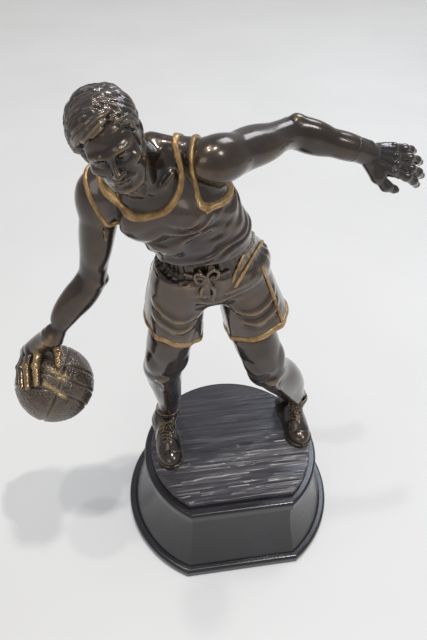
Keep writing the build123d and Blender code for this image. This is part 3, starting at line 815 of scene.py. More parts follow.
SKIN = bronze("bronze_skin", gold_amount=0.42, ridges=(0.07, 0.34), roughness=0.20, coat=0.65)
CLOTH = bronze("bronze_cloth", gold_amount=0.30, ridges=(0.07, 0.36), roughness=0.20,
               coat=0.7, mid=(0.062, 0.049, 0.047))
SHORTS = bronze("bronze_shorts", gold_amount=0.52, ridges=(0.04, 0.32), roughness=0.18,
                coat=0.8, dark=(0.011, 0.009, 0.0084), mid=(0.083, 0.062, 0.050))
# darker bronze for the waistband: painted shade for the band sunk under the singlet's bloused hem
WAISTBAND_PAINTED_SHADE = bronze("bronze_waistband_painted_shade", gold_amount=0.22, ridges=(0.08, 0.34), roughness=0.24,
                   dark=(0.007, 0.0058, 0.006), mid=(0.019, 0.0145, 0.0142))
HAIR = bronze("bronze_hair", gold_amount=0.32, ridges=(0.07, 0.34), roughness=0.21,
              coat=0.8, dark=(0.010, 0.0086, 0.0083), mid=(0.052, 0.043, 0.040))
SHOES = bronze("bronze_shoes", gold_amount=0.30, ridges=(0.06, 0.32), roughness=0.20,
               coat=0.8, dark=(0.009, 0.0075, 0.007), mid=(0.036, 0.029, 0.025))
BALL_BRONZE = bronze("bronze_ball", gold_amount=0.20, ridges=(0.05, 0.25), roughness=0.3,
                     dark=(0.021, 0.0167, 0.0142), mid=(0.092, 0.072, 0.059),
                     gold=(0.40, 0.28, 0.14))
GOLD_PAINT = gold_paint("gold_trim_paint")
HAND_BRONZE = bronze("bronze_hand", gold_amount=0.10, ridges=(0.10, 0.5), roughness=0.16,
                     coat=0.9, mid=(0.036, 0.0300, 0.0300))
DECK_WOOD = court_wood("dark_wood_grain")

# ============================================================ trunk
TORSO = Loft([
    (WAIST - TRUNK_UP * 7, 12.6, 9.2, (1, 0, 0)),
    ((-12.6, -2.2, 152.4), 13.6, 10.0, (1, 0, 0.05)),
    ((-14.6, -3.0, 161.0), 14.0, 10.3, (1, -0.06, 0.25)),
    ((-20.0, -4.6, 170.8), 15.9, 10.9, (1, -0.16, 0.36)),
    ((-25.5, -5.8, 180.0), 17.4, 10.8, (0.84, -0.30, 0.42)),
    ((-29.6, -6.4, 186.6), 15.4, 8.2, TRUNK_LEFT),
    ((-31.4, -7.0, 190.6), 9.4, 6.2, TRUNK_LEFT),
    (NECK + TRUNK_UP * 5, 5.8, 5.4, TRUNK_LEFT),
], axis=TRUNK_UP)
NECK_LOW, NECK_TOP = vec(-31.5, -6.8, 189.0), HEAD - HEAD_UP * 6 + (0.9, 4.8, 0)


def sculpt_trunk(field):
    left, up = TRUNK_LEFT, TRUNK_UP
    field.add(TORSO, 0)
    for shoulder, side in ((R_SHOULDER, -1), (L_SHOULDER, 1)):
        # slope of the trapezius, shoulder blade, chest muscle, flank
        slope_end = shoulder + up * 2.6 - left * side * 3.0 - TRUNK_FRONT * 1.5
        field.add(capsule(trunk_at(side * 3.2, 5.5, -3.0), slope_end, 3.6, 4.0), 3.0)
        field.add(ellipsoid(trunk_at(side * 8.5, -11.5, -7.8), (5.4, 2.6, 6.8), left, up), 2.5)
        field.add(ellipsoid(trunk_at(side * 6.9, -14.2, 6.9), (7.2, 3.5, 5.6),
                            left - up * 0.25 * side, up + left * side * 0.12), 2.2)
        field.add(ellipsoid(trunk_at(side * 12.6, -17.0, -2.6), (3.4, 5.4, 9.0), left, up), 3.0)
    field.add(ellipsoid(trunk_at(14.6, -21.0, -3.6), (3.4, 6.4, 12.0), left, up - left * 0.15), 3.5)


def sculpt_neck(field):
    field.add(capsule(NECK_LOW, NECK_TOP, 5.7, 5.3), 3.0)
    for side in (-1, 1):
        # the strap of muscle from behind the ear to the collar notch, and the collar bone
        field.add(capsule(head_at(side * 6.0, -2.6, -5.6), trunk_at(side * 1.6, -2.2, 6.1),
                          1.5, 1.1), 1.6)
        field.add(tube([trunk_at(side * 1.9, -3.0, 6.2), trunk_at(side * 5.4, -2.6, 6.0),
                        trunk_at(side * 8.4, -0.7, 4.2)], [0.9, 0.75, 0.4]), 2.4)
    # windpipe
    field.add(ellipsoid(mix(NECK_LOW, NECK_TOP, 0.62) + HEAD_FRONT * 4.6, (1.4, 1.4, 2.0),
                        HEAD_LEFT, HEAD_UP), 1.6)


# ============================================================ arms
# share of the bone, half side, half depth
UPPER_ARM = ((-0.04, 6.6, 6.6), (0.22, 6.7, 6.5), (0.46, 6.3, 5.9), (0.74, 5.2, 5.0),
             (1.0, 4.9, 4.7))
FOREARM = ((-0.06, 4.9, 4.8), (0.22, 5.5, 5.1), (0.55, 4.6, 4.2), (0.84, 3.6, 2.9),
           (1.10, 3.7, 2.7))
# share of the bone, offset to the front, offset outwards, radii, lean to the front, blend
UPPER_MUSCLES = (
    (0.06, 0, 1.6, (6.4, 6.6, 9.6), 0, 2.0),           # deltoid, in three heads
    (0.08, 3.2, 0.6, (4.2, 4.6, 8.4), 0.10, 1.6),
    (0.08, -3.0, 0.8, (4.2, 4.6, 8.2), 0, 1.6),
    (0.55, 2.4, 0, (4.1, 4.4, 10.2), 0, 1.4),          # biceps
    (0.46, -2.5, 1.0, (4.0, 4.3, 10.8), 0, 1.4),       # triceps
    (0.50, -2.2, -1.8, (3.4, 3.6, 9.0), 0, 1.4),
    (1.0, -3.6, 0, (2.2, 2.4, 3.0), 0, 1.6),           # point and knuckles of the elbow
    (1.0, 0, 3.9, (1.9, 1.9, 2.4), 0, 1.8),
    (1.0, 0, -3.9, (1.9, 1.9, 2.4), 0, 1.8),
)
FOREARM_MUSCLES = (
    (0.20, 1.0, 2.6, (3.2, 3.2, 8.6), 0, 1.4),
    (0.24, 0.6, -2.2, (3.2, 3.3, 9.0), 0, 1.4),
    (0.30, -2.2, 0, (2.8, 2.6, 9.0), 0, 1.4),
    (0.93, -0.6, 2.9, (1.2, 1.3, 1.8), 0, 1.2),        # wrist bone
)


class Arm:
    """One arm.

    front is the side of the biceps, out points away from the trunk, bulge is one more
    forearm muscle. armhole holds the opening's inset, outward slope, corner blend and
    the blend with its lower edge.
    """

    def __init__(self, side, joints, section_side, front, out, bulge, armhole):
        self.side, self.front, self.out = side, front, out
        self.shoulder, self.elbow, self.wrist = joints
        self.bulge, self.armhole = bulge, armhole
        self.upper = limb(self.shoulder, self.elbow, section_side, UPPER_ARM, 3.0)
        self.fore = limb(self.elbow, self.wrist, section_side, FOREARM, 1.2)
        # the cut between arm and hand castings
        self.axis = unit(self.wrist - self.elbow)
        self.cut = mix(self.elbow, self.wrist, 0.80)
        self.calm = (self.cut, self.axis, 2.2, 8.0)

    def past_cut(self, grid):
        return along(grid, self.axis, self.cut)

    def sculpt(self, field):
        field.add(self.upper, 1.0)
        field.add(self.fore, 2.2)
        front, out = self.front, self.out
        for start, end, muscles in (
            (self.shoulder, self.elbow, UPPER_MUSCLES),
            (self.elbow, self.wrist, FOREARM_MUSCLES + (self.bulge,)),
        ):
            bone = unit(end - start)
            front = square_to(front, bone)
            out = square_to(out, bone, front)
            for share, ahead, outward, radii, lean, blend in muscles:
                center = mix(start, end, share) + front * ahead + out * outward
                field.add(ellipsoid(center, radii, front, bone + front * lean), blend)

    def opening(self, grid, arm_dist, trunk_dist):
        """Below zero outside the singlet's cloth at this shoulder."""
        inset, slope, corner_blend, merge_blend = self.armhole
        low = 10.2
        outward = along(grid, TRUNK_LEFT, self.shoulder) * self.side
        up = along(grid, TRUNK_UP, self.shoulder)
        outward = outward - slope * np.maximum(up, 0)
        edge = single(soft_max(-(outward + inset), -(up + low), corner_blend))
        below = soft_max(arm_dist - trunk_dist + 0.3, single(up + low - 1.0), 3.0)
        return soft_min(edge, below, merge_blend)


RIGHT_ARM = Arm(-1, (R_SHOULDER, R_ELBOW, R_WRIST), section_side=(-0.25, -1, 0),
                front=(0.25, -1, 0), out=(-1, 0, 0),
                bulge=(0.42, 0, 3.2, (3.6, 3.4, 11.5), 0, 1.8), armhole=(0.3, 0.12, 5.0, 3.0))
LEFT_ARM = Arm(1, (L_SHOULDER, L_ELBOW, L_WRIST), section_side=(0, -0.6, 0.8),
               front=(0, -1, -0.15), out=(0, 0, 1),
               bulge=(0.72, 0, 0.4, (4.4, 4.4, 8.5), 0, 2.0), armhole=(3.6, 0.20, 10.0, 10.0))


def build_arm(name, arm, low, high, node):
    """Everything of the arm outside the armhole, down to the wrist cut."""
    field, trunk = Field(low, high, STEP["body"]), Field(low, high, STEP["body"])
    arm.sculpt(field)
    sculpt_trunk(trunk)
    grid = field.grid()
    region = arm.opening(grid, field.dist, trunk.dist) - 1.0
    field.dist = soft_max(soft_min(field.dist, trunk.dist, 2.6), region, 0.3)
    past = arm.past_cut(grid)
    # a slightly thinner end tucks into the hand casting
    field.dist = single(field.dist + 0.09 * np.clip((past + 0.5) / 0.4, 0, 1))
    field.trim(single(past - 1.4), 0.05)
    figure_piece(name, field, SKIN, node, calm=arm.calm)


# ============================================================ singlet
def neck_opening(grid):
    """Below zero inside the neckline: wide over the shoulders, deeper in front than behind."""
    offset = shift(grid, NECK)
    left = dot(offset, TRUNK_LEFT) + 2.2
    up = dot(offset, TRUNK_UP) - 0.5
    t = np.clip((dot(offset, TRUNK_FRONT) + 3.0) / 5, 0, 1)
    depth = 5.2 + 4.7 * t * t * (3 - 2 * t)
    power = 2.2
    size = (np.abs(left / 12.9) ** power + np.abs(np.minimum(up, 0) / depth) ** power) ** (1 / power)
    return single((size - 1) * 12.0)


# loft that slackens the cloth round the belly
BELLY = Loft([
    ((-12.0, -2.4, 153.5), 15.4, 11.3, (1, 0, 0.05)),
    ((-13.4, -2.8, 158.5), 15.8, 11.6, (1, 0, 0.15)),
    ((-14.3, -3.2, 162.5), 16.1, 12.0, (1, -0.04, 0.25)),
    ((-16.8, -3.9, 167.0), 15.5, 11.4, (1, -0.08, 0.3))], axis=TRUNK_UP, cap_blend=1.6)
# rolls across the belly and flanks: share from and to, degrees from and to, height, width;
# -90 degrees is the middle of the front, 0 the figure's left
ROLLS = (
    (0.17, 0.20, -172, -20, 0.62, 1.05), (0.225, 0.265, -150, -8, 0.55, 0.95),
    (0.285, 0.34, -165, -42, 0.50, 1.0), (0.33, 0.41, -118, -4, 0.48, 1.0),
    (0.40, 0.455, -168, -96, 0.42, 1.0), (0.43, 0.52, -80, 2, 0.42, 1.1),
    (0.19, 0.17, 20, 160, 0.5, 1.0), (0.26, 0.27, 40, 150, 0.45, 1.1),
    (0.35, 0.38, 25, 130, 0.4, 1.2), (0.47, 0.50, 50, 165, 0.4, 1.3),
)
# pulls from the armholes across the flanks: (share, degrees) points, height, width
PULLS = (
    ([(0.66, 8), (0.58, -6), (0.50, -26), (0.44, -52)], 0.55, 0.95),
    ([(0.62, 20), (0.53, 2), (0.44, -18), (0.37, -40)], 0.5, 0.95),
    ([(0.60, 36), (0.50, 14), (0.40, -2), (0.33, -16)], 0.5, 1.0),
    ([(0.69, -2), (0.64, -20), (0.58, -42), (0.55, -60)], 0.42, 0.9),
    ([(0.64, -172), (0.57, -155), (0.50, -132), (0.46, -108)], 0.45, 1.0),
    ([(0.60, -185), (0.51, -168), (0.43, -150), (0.38, -128)], 0.4, 1.0),
    ([(0.60, 50), (0.52, 70), (0.42, 92), (0.36, 120)], 0.45, 1.1),
    ([(0.64, 170), (0.54, 150), (0.45, 128), (0.40, 104)], 0.4, 1.1),
)


def drape_waves(cloth):
    """Waves of cloth running round the belly and rising to the left armhole."""
    offset = shift(cloth.grid(), WAIST)
    up, left, front = (single(dot(offset, axis)) for axis in (TRUNK_UP, TRUNK_LEFT, TRUNK_FRONT))
    warp = single(noise(left / 9.0 + 3, front / 9.0, up / 7.0, 3.0))
    height = single(noise(left / 12.0, front / 12.0 + 5, up / 8.0, 8.0))
    tilted = up - 0.12 * left + 0.006 * left * left
    wave = np.sin(2 * math.pi * (tilted / 5.4 + 1.5 * warp))
    wave = np.where(wave > 0, wave, wave * 0.8)
    fade = np.clip((up - 6.0) / 5.0, 0, 1) * np.clip((31.0 - up) / 7.0, 0, 1)
    cloth.dist = cloth.dist - single(0.78 * fade * np.clip(height * 1.8 - 0.35, 0.08, 1.0) * wave)


def build_singlet():
    box = ((-66, -26, 143), (20, 16, 204), STEP["body"])
    trunk, right, left = Field(*box), Field(*box), Field(*box)
    sculpt_trunk(trunk)
    RIGHT_ARM.sculpt(right)
    LEFT_ARM.sculpt(left)
    grid = trunk.grid()
    open_right = RIGHT_ARM.opening(grid, right.dist, trunk.dist)
    open_left = LEFT_ARM.opening(grid, left.dist, trunk.dist)
    open_neck = neck_opening(grid)
    body = soft_min(soft_min(trunk.dist, right.dist, 2.6), left.dist, 2.6)

    # the trunk, thickened, with its folds
    cloth = trunk.like(body - 0.75)
    cloth.add(BELLY, 2.2)
    drape_waves(cloth)
    for share0, share1, turn0, turn1, height, width in ROLLS:
        points = [(share0, turn0), (share0 - 0.018, turn0 * 0.65 + turn1 * 0.35),
                  ((share0 + share1) / 2 - 0.015, (turn0 + turn1) / 2), (share1, turn1)]
        fold(cloth, TORSO, points, height, width, groove=(-0.34, 0.75), slip=(0.032, 0),
             count=14, lift=0.6)
    for points, height, width in PULLS:
        fold(cloth, TORSO, points, height, width, groove=(-0.3, 0.7), slip=(0.028, 4),
             count=14, lift=0.6)
    for opening in (open_right, open_left, open_neck):
        cloth.trim(-opening, 0.35)
    hem_normal = unit((-0.12, -0.08, 0.99))
    above_hem = dot(grid, hem_normal) - vec(-14.6, -3.0, 160.4) @ hem_normal
    cloth.trim(-single(above_hem), 0.4)
    figure_piece("singlet", cloth, CLOTH, "torso")

    # gold bindings that follow the edges of the cloth
    base = trunk.like(body - 0.75)
    for name, opening, half_width in (
        ("neck_trim", open_neck, 1.0),
        ("armhole_trim_right", open_right, 0.75),
        ("armhole_trim_left", open_left, 0.75),
    ):
        trim = wrap(base, np.abs(even(base, opening) - 0.2) - half_width,
                    lift=0.40, edge_blend=0.5, depth=1.1, inner_blend=0.2)
        if name == "armhole_trim_right":
            trim.trim(single(-along(grid, TRUNK_UP, R_SHOULDER) - 12.4), 0.3)
        gold_piece(name, trim)


# ============================================================ head
def sculpt_eye(field, side):
    """Socket, eyeball, upper and lower lid, and the eyebrow."""
    field.cut(head_ellipsoid((side * 3.1, 10.0, 0.1), (2.2, 2.3, 1.35)), 1.0)
    field.add(head_ellipsoid((side * 3.1, 7.25, 0.0), (1.75, 1.75, 1.6)), 0.25)
    upper = ((1.35, 8.35, -0.15), (2.3, 9.05, 0.62), (3.4, 9.0, 0.75), (4.9, 7.75, -0.05))
    lower = ((1.5, 8.3, -0.35), (2.5, 8.7, -0.92), (3.6, 8.55, -0.95), (4.8, 7.7, -0.3))
    brow = ((1.3, 9.35, 2.0), (3.0, 9.45, 2.75), (5.3, 7.75, 2.35))
    brow_radii = [0.42, 0.46, 0.46, 0.45, 0.42, 0.38, 0.33, 0.26]
    for points, radii, blend in ((upper, 0.34, 0.25), (lower, 0.27, 0.3), (brow, brow_radii, 0.35)):
        field.add(tube(curve(head_path(points, side), 8), radii), blend)


def sculpt_ear(field, side):
    field.add(head_ellipsoid((side * 8.2, -1.7, -0.4), (1.0, 2.0, 3.0),
                             (0.12 * side, -0.22, 1), (1, 0.35 * side, 0)), 0.5)
    field.cut(head_ellipsoid((side * 9.3, -1.2, 0.1), (0.75, 1.05, 1.6), (0, -0.22, 1)), 0.35)
    field.add(head_ellipsoid((side * 8.3, -0.6, -2.9), (0.7, 0.8, 0.9)), 0.4)


def sculpt_head(field):
    for center, radii, blend in (
        ((0, -1.2, 3.2), (8.4, 10.4, 8.8), 2.2), ((0, 2.5, -3.0), (7.1, 7.3, 8.4), 2.0),
        ((0, 2.8, -7.4), (5.7, 6.4, 4.4), 2.0), ((0, -5.2, -1.8), (6.8, 5.6, 6.6), 2.0),
    ):
        field.add(head_ellipsoid(center, radii), blend)
    for side in (-1, 1):
        # jaw and cheek
        field.add(capsule(head_at(side * 6.3, -1.0, -5.0), head_at(side * 3.0, 6.4, -10.3),
                          1.7, 1.6), 1.8)
        field.add(head_ellipsoid((side * 4.9, 6.0, -2.4), (2.5, 2.4, 1.9)), 1.6)
    # chin, and the ridge of the brow
    field.add(head_ellipsoid((0, 7.6, -10.7), (2.4, 1.9, 1.8)), 1.6)
    field.add(tube(head_path([(-5.2, 7.0, 2.0), (-2.8, 8.6, 2.2), (0, 8.9, 2.0), (2.8, 8.6, 2.2),
                              (5.2, 7.0, 2.0)]), [0.9, 1.1, 1.0, 1.1, 0.9]), 1.4)
    for side in (-1, 1):
        sculpt_eye(field, side)
        # wing of the nose
        field.add(head_ellipsoid((side * 1.3, 10.35, -3.7), (0.82, 1.05, 0.8)), 0.6)
        sculpt_ear(field, side)
    # nose and nostrils
    field.add(tube(head_path([(0, 9.2, 1.4), (0, 10.3, -0.8), (0, 11.8, -3.1)]),
                   [0.8, 0.78, 0.95]), 0.9)
    field.add(head_ellipsoid((0, 11.7, -3.35), (1.15, 1.1, 0.95)), 0.5)
    for side in (-1, 1):
        field.cut(head_ellipsoid((side * 0.68, 11.3, -4.35), (0.34, 0.5, 0.4)), 0.25)
    # mouth: mound, upper lip, lower lip, parting
    field.add(head_ellipsoid((0, 8.6, -6.3), (3.2, 1.9, 2.1)), 1.2)
    for points, radius in (
        (((-2.45, 9.15, -6.45), (-1.1, 10.3, -5.95), (0, 10.42, -6.1), (1.1, 10.3, -5.95),
          (2.45, 9.15, -6.45)), 0.46),
        (((-2.1, 9.2, -6.85), (-0.9, 10.15, -7.15), (0, 10.3, -7.2), (0.9, 10.15, -7.15),
          (2.1, 9.2, -6.85)), 0.52),
    ):
        field.add(tube(curve(head_path(points), 12), radius), 0.3)
    parting = ((-2.9, 9.0, -6.6), (-1.2, 10.4, -6.5), (0, 10.7, -6.55), (1.2, 10.4, -6.5),
               (2.9, 9.0, -6.6))
    field.ridge(curve(head_path(parting), 12), -0.36, 0.34)
    # groove under the nose, chin crease, creases beside the mouth
    field.ridge(head_path([(0, 10.6, -4.7), (0, 10.4, -5.5)]), -0.2, 0.4)
    field.ridge(head_path([(-1.6, 9.2, -8.7), (0, 9.8, -8.8), (1.6, 9.2, -8.7)]), -0.45, 0.7)
    crease = ((2.0, 10.0, -3.9), (3.2, 9.2, -5.2), (3.7, 8.6, -6.6))
    for side in (-1, 1):
        field.ridge(curve(head_path(crease, side), 8), -0.2, 0.5)


def build_head():
    """Head, neck and the chest seen inside the neckline."""
    field = Field((-56, -40, 169), (-12, 7, 227), STEP["head"])
    sculpt_trunk(field)
    sculpt_neck(field)
    field.trim(neck_opening(field.grid()) - 1.0, 0.3)
    sculpt_head(field)
    figure_piece("head_and_neck", field, SKIN, "head")


# ============================================================ hair
def on_hair(direction, lift):
    """Point over the hair's ellipsoid in a direction (left, front, up) from its middle."""
    direction = unit(direction)
    left, front, up = direction
    radius = 1.0 / math.sqrt((left / 9.1) ** 2 + (front / 11.2) ** 2 + (up / 8.8) ** 2)
    return head_at(*(vec(0, -1.5, 3.8) + direction * (radius + lift)))


def add_lock(field, directions, root, tip, lift, wave, phase, count=11, blend=0.14):
    """A wavy lock over the hair, from radius root to radius tip."""
    directions = curve(directions, count)
    points, radii = [], []
    for i, direction in enumerate(directions):
        t = i / (count - 1)
        rise = (-0.35 + lift * math.sin(math.pi * min(1, 0.15 + t))
                + 0.22 * math.sin(phase * 1.7 + t * 6.0) * wave)
        point = on_hair(direction, rise)
        run = unit(directions[min(i + 1, count - 1)] - directions[max(i - 1, 0)])
        sideways = unit(np.cross(point - HEAD, run))
        points.append(point + sideways * (wave * math.sin(phase + t * 6.5)))
        swell = 0.72 + 0.42 * math.sin(math.pi * (0.12 + 0.8 * t))
        radii.append((root * (1 - t) + tip * t) * swell)
    field.add(tube(points, radii), blend)


def add_locks(field):
    rng = np.random.RandomState(11)
    # right side and top: from the parting, over the crown, down past the right ear
    for layer, (count, root, lift, slide) in enumerate(((11, 1.55, 0.4, 0.0), (9, 1.15, 1.25, 0.7))):
        for i in range(count):
            front = 7.4 - 15.0 * ((i + slide * 0.6) / (count - 1))
            add_lock(field, [
                (3.2 - 1.6 * layer, front, 9.2 - 0.17 * abs(front + 1)), (-2.4, front + 1.2, 9.4),
                (-7.4, front * 0.95 + 0.8, 4.6), (-9.6, front * 0.8 - 0.4, -1.2),
                (-9.2, front * 0.75 - 2.0, -5.4 + 2.2 * layer)],
                root=root + 0.3 * rng.rand(), tip=0.55, lift=lift + 0.3 * rng.rand(),
                wave=0.75, phase=rng.rand() * 6)
    # left side, from the parting down to the left ear
    for layer, (count, root, lift) in enumerate(((9, 1.35, 0.25), (7, 0.95, 0.85))):
        for i in range(count):
            t = (i + 0.5 * layer) / (count - 1)
            front = 6.8 - 14.0 * t
            add_lock(field, [
                (3.6, front, 9.0), (6.8, front + 0.6, 5.8), (9.2, front * 0.9 - 0.4, 1.2),
                (9.0, front * 0.85 - 1.8, -2.2 - 1.6 * t)],
                root=root + 0.25 * rng.rand(), tip=0.45, lift=lift, wave=0.6,
                phase=rng.rand() * 6)
    # back: from the crown to the nape
    for layer, (count, root, lift) in enumerate(((10, 1.5, 0.3), (8, 1.05, 0.95))):
        for i in range(count):
            x = math.sin(math.radians(-80 + 160 * (i + 0.5 * layer) / (count - 1)))
            add_lock(field, [
                (1.5 + 2.0 * x, -5.0, 9.0), (5.5 * x, -9.5, 4.5),
                (7.2 * x, -10.5 + 2.4 * abs(x), -2.0), (6.4 * x, -8.2 + 2.0 * abs(x), -8.0)],
                root=root + 0.3 * rng.rand(), tip=0.5, lift=lift, wave=0.7,
                phase=rng.rand() * 6)
    # fringe: thick waves swept from the parting across the forehead to the right temple
    for i in range(11):
        k = i / 10
        add_lock(field, [
            (3.9, 7.2 - 1.4 * k, 7.9 + 0.9 * k), (0.8, 10.4 - 1.6 * k, 7.2 + 1.2 * k),
            (-3.6, 10.2 - 1.4 * k, 5.4 + 1.5 * k), (-7.2, 7.0 - 1.4 * k, 2.6 + 1.8 * k),
            (-9.4, 3.6 - 1.2 * k, -1.8 + 1.4 * k)],
            root=0.95 + 0.25 * rng.rand(), tip=0.6,
            lift=(1.9, 1.0, 1.5)[i % 3] + 0.3 * rng.rand(),
            wave=0.7, phase=1.0 + i * 1.3, count=14, blend=0.12)
    # left of the parting, down to the left temple
    for i in range(5):
        back = 0.7 * i
        add_lock(field, [(4.0, 7.4 - back, 7.8), (5.6, 7.9 - back, 5.6), (7.1, 6.2 - back, 2.8),
                         (7.8, 4.0 - back, -0.4)],
                 root=0.85, tip=0.4, lift=0.7 + 0.5 * (i % 2), wave=0.5, phase=2.0 + i, count=9)
    # loose locks on top, for depth
    for i in range(16):
        left, front = rng.rand() * 5 - 5.5, rng.rand() * 14 - 8
        add_lock(field, [
            (3 + left, front, 9.0), (left - 1.5, front + 1.0, 9.0 - 0.2 * abs(left)),
            (left - 4.5, front + 0.6 + rng.rand() * 1.6, 6.0), (left - 6.0, front, 2.0)],
            root=0.9, tip=0.4, lift=1.7, wave=0.9, phase=rng.rand() * 6, count=9, blend=0.1)
    # sideburns
    for side in (-1, 1):
        for j in range(4):
            field.add(tube(head_path([(7.6, 3.2 - j * 1.1, 2.2), (7.9, 2.6 - j * 1.0, -0.4),
                                      (7.7, 2.2 - j * 0.9, -2.6)], side), [0.8, 0.65, 0.35]), 0.2)
    # the loose mass over the right ear
    for i in range(6):
        front = 2.6 - 2.0 * i
        add_lock(field, [(-8.8, front, 3.4), (-10.2, front - 0.3, 0.2),
                         (-10.6, front - 1.0, -3.4), (-9.6, front - 1.8, -6.6)],
                 root=1.3, tip=0.5, lift=0.6 + 0.5 * (i % 2), wave=0.5, phase=i * 1.1, count=9)


def build_hair():
    """A cap of hair covered with swept locks."""
    middle, reach = head_at(0, -1.5, 2), 17.5
    field = Field(middle - reach, middle + reach, STEP["head"])
    field.add(head_ellipsoid((0, -1.5, 3.4), (8.5, 10.5, 8.4)), 0)
    field.add(head_ellipsoid((-0.6, -5.6, -2.2), (7.3, 5.2, 7.0)), 1.5)
    offset = shift(field.grid(), HEAD)
    left, front, up = (dot(offset, axis) for axis in (HEAD_LEFT, HEAD_FRONT, HEAD_UP))
    field.trim(single(front * 0.82 - up * 0.57 - 2.4), 0.8)
    for side in (-1, 1):
        field.cut(head_ellipsoid((side * 9.6, -1.4, -1.6), (2.6, 2.5, 3.4), (0, -0.2, 1)), 0.8)
    add_locks(field)
    # strands combed along the locks
    fringe = np.clip((front - 1.0) / 4.0, 0, 1)
    strand = ((front + 0.30 * left) * (1 - fringe)
              + fringe * (0.95 * up - 0.45 * left - 0.35 * front)
              + 2.6 * noise(left / 4.5, front / 4.5 + 7, up / 4.5, 4.0))
    field.dist = field.dist - single((0.10 + 0.10 * fringe) * np.sin(2 * math.pi * strand / 1.6))
    figure_piece("hair", field, HAIR, "head")


# ============================================================ shorts
PELVIS_TOP, PELVIS_LOW = vec(-14.0, -3.0, 162.2), vec(-11.4, 0.4, 137.0)
PELVIS = Loft([
    (PELVIS_LOW, 12.0, 8.6, (1, 0, 0)), ((-11.4, 0.8, 141.5), 17.2, 11.6, (1, 0, 0)),
    ((-10.8, 1.0, 147.0), 20.3, 12.9, (1, 0, 0)), ((-10.7, 0.6, 150.6), 19.2, 12.8, (1, 0, 0)),
    ((-11.7, -0.2, 153.2), 17.2, 12.0, (1, 0, 0.06)),
    ((-12.6, -1.6, 157.4), 16.2, 11.5, (1, 0, 0.14)),
    (PELVIS_TOP, 15.6, 11.3, (1, -0.04, 0.22))], axis=PELVIS_TOP - PELVIS_LOW, cap_blend=1.0)
WAIST_SHARE = 0.60      # the waistband's lower edge, as a share of the pelvis
WAIST_CALM = (PELVIS.middle(WAIST_SHARE), PELVIS.axis, 1.3, 30.0)

Trouser = namedtuple("Trouser", "hip knee hem widen outward splay")
R_TROUSER = Trouser(vec(-22.4, -0.6, 146.5), R_KNEE, hem=0.50, widen=-0.8, outward=1.2, splay=-9.0)
L_TROUSER = Trouser(vec(-0.4, 1.8, 145), L_KNEE, hem=0.47, widen=0.5, outward=0.9, splay=6.0)


def trouser_loft(leg, grow=0.0, bottom=None, cap_blend=0.35):
    """A trouser leg down to its hem, or to a share of the thigh below it."""
    def flare(share):
        return max(0, share / leg.hem) ** 2
    rows = [(-0.05, 9.4, 10.6), (0.12, 10.6, 11.6), (0.28, 11.4, 11.9), (0.40, 11.9, 12.1),
            (leg.hem, 12.3, 12.3)]
    rows = [(share, wide + grow + leg.widen * flare(share), deep + grow)
            for share, wide, deep in rows]
    if bottom is not None:
        rows.append((bottom, rows[-1][1] + 0.5, rows[-1][2] + 0.5))
    out = vec(leg.outward, 0, 0)
    return Loft([(mix(leg.hip, leg.knee, share) + out * flare(share), wide, deep, (1, 0, 0))
                 for share, wide, deep in rows],
                axis=leg.knee - leg.hip + (leg.splay, 0, 0), cap_blend=cap_blend)


R_LEG_CLOTH, L_LEG_CLOTH = trouser_loft(R_TROUSER), trouser_loft(L_TROUSER)
# flutes of slack cloth: loft, number round the leg, height, phase, drift down the leg
FLUTES = ((R_LEG_CLOTH, 7, 0.34, 0.6, 0.9), (L_LEG_CLOTH, 7, 0.34, 2.1, -0.8),
          (R_LEG_CLOTH, 11, 0.16, 2.0, -1.2), (L_LEG_CLOTH, 11, 0.16, 0.4, 1.3))
# folds of the legs: loft, (share, degrees) points, height, width. They sag on the front of
# the right thigh, and pull from the crotch up to the left hip
LEG_FOLDS = (
    (R_LEG_CLOTH, [(0.28, -124), (0.44, -114), (0.50, -98), (0.44, -82), (0.30, -74)], 1.2, 1.2),
    (R_LEG_CLOTH, [(0.36, -132), (0.58, -116), (0.64, -98), (0.58, -80), (0.38, -66)], 1.1, 1.2),
    (R_LEG_CLOTH, [(0.20, -112), (0.32, -106), (0.36, -97), (0.30, -88)], 0.7, 0.9),
    (R_LEG_CLOTH, [(0.22, -40), (0.34, -54), (0.50, -60), (0.70, -58)], 0.8, 1.1),
    (R_LEG_CLOTH, [(0.16, -150), (0.34, -148), (0.56, -150), (0.80, -154)], 0.75, 1.1),
    (R_LEG_CLOTH, [(0.74, -138), (0.82, -112), (0.80, -88), (0.72, -66)], 0.5, 1.2),
    (L_LEG_CLOTH, [(0.36, -150), (0.34, -122), (0.24, -92), (0.10, -64)], 1.5, 1.6),
    (L_LEG_CLOTH, [(0.48, -152), (0.50, -128), (0.42, -98), (0.28, -66), (0.16, -44)], 1.6, 1.7),
    (L_LEG_CLOTH, [(0.62, -146), (0.64, -122), (0.60, -94), (0.50, -66), (0.40, -44)], 1.4, 1.6),
    (L_LEG_CLOTH, [(0.80, -134), (0.82, -112), (0.78, -86), (0.70, -62)], 0.6, 1.2),
    (R_LEG_CLOTH, [(0.40, 160), (0.52, 120), (0.54, 84), (0.44, 50)], 0.8, 1.4),
    (R_LEG_CLOTH, [(0.60, 150), (0.70, 118), (0.72, 86), (0.62, 58)], 0.6, 1.4),
    (L_LEG_CLOTH, [(0.40, 20), (0.52, 58), (0.54, 96), (0.44, 130)], 0.8, 1.4),
    (L_LEG_CLOTH, [(0.60, 26), (0.70, 60), (0.72, 92), (0.62, 122)], 0.6, 1.4),
)
# folds of the seat and crotch: points, height, width
PELVIS_FOLDS = (
    ([(0.10, -92), (0.24, -74), (0.36, -52), (0.46, -28)], 0.8, 1.1),
    ([(0.10, -88), (0.24, -108), (0.36, -130), (0.46, -152)], 0.8, 1.1),
    ([(0.30, -84), (0.40, -64), (0.48, -42)], 0.7, 1.0),
    ([(0.30, -98), (0.40, -116), (0.48, -138)], 0.7, 1.0),
    ([(0.45, 90), (0.30, 90), (0.12, 90)], -0.8, 1.1),
    ([(0.40, 40), (0.36, 70), (0.40, 100), (0.44, 130)], 0.5, 1.3),
)
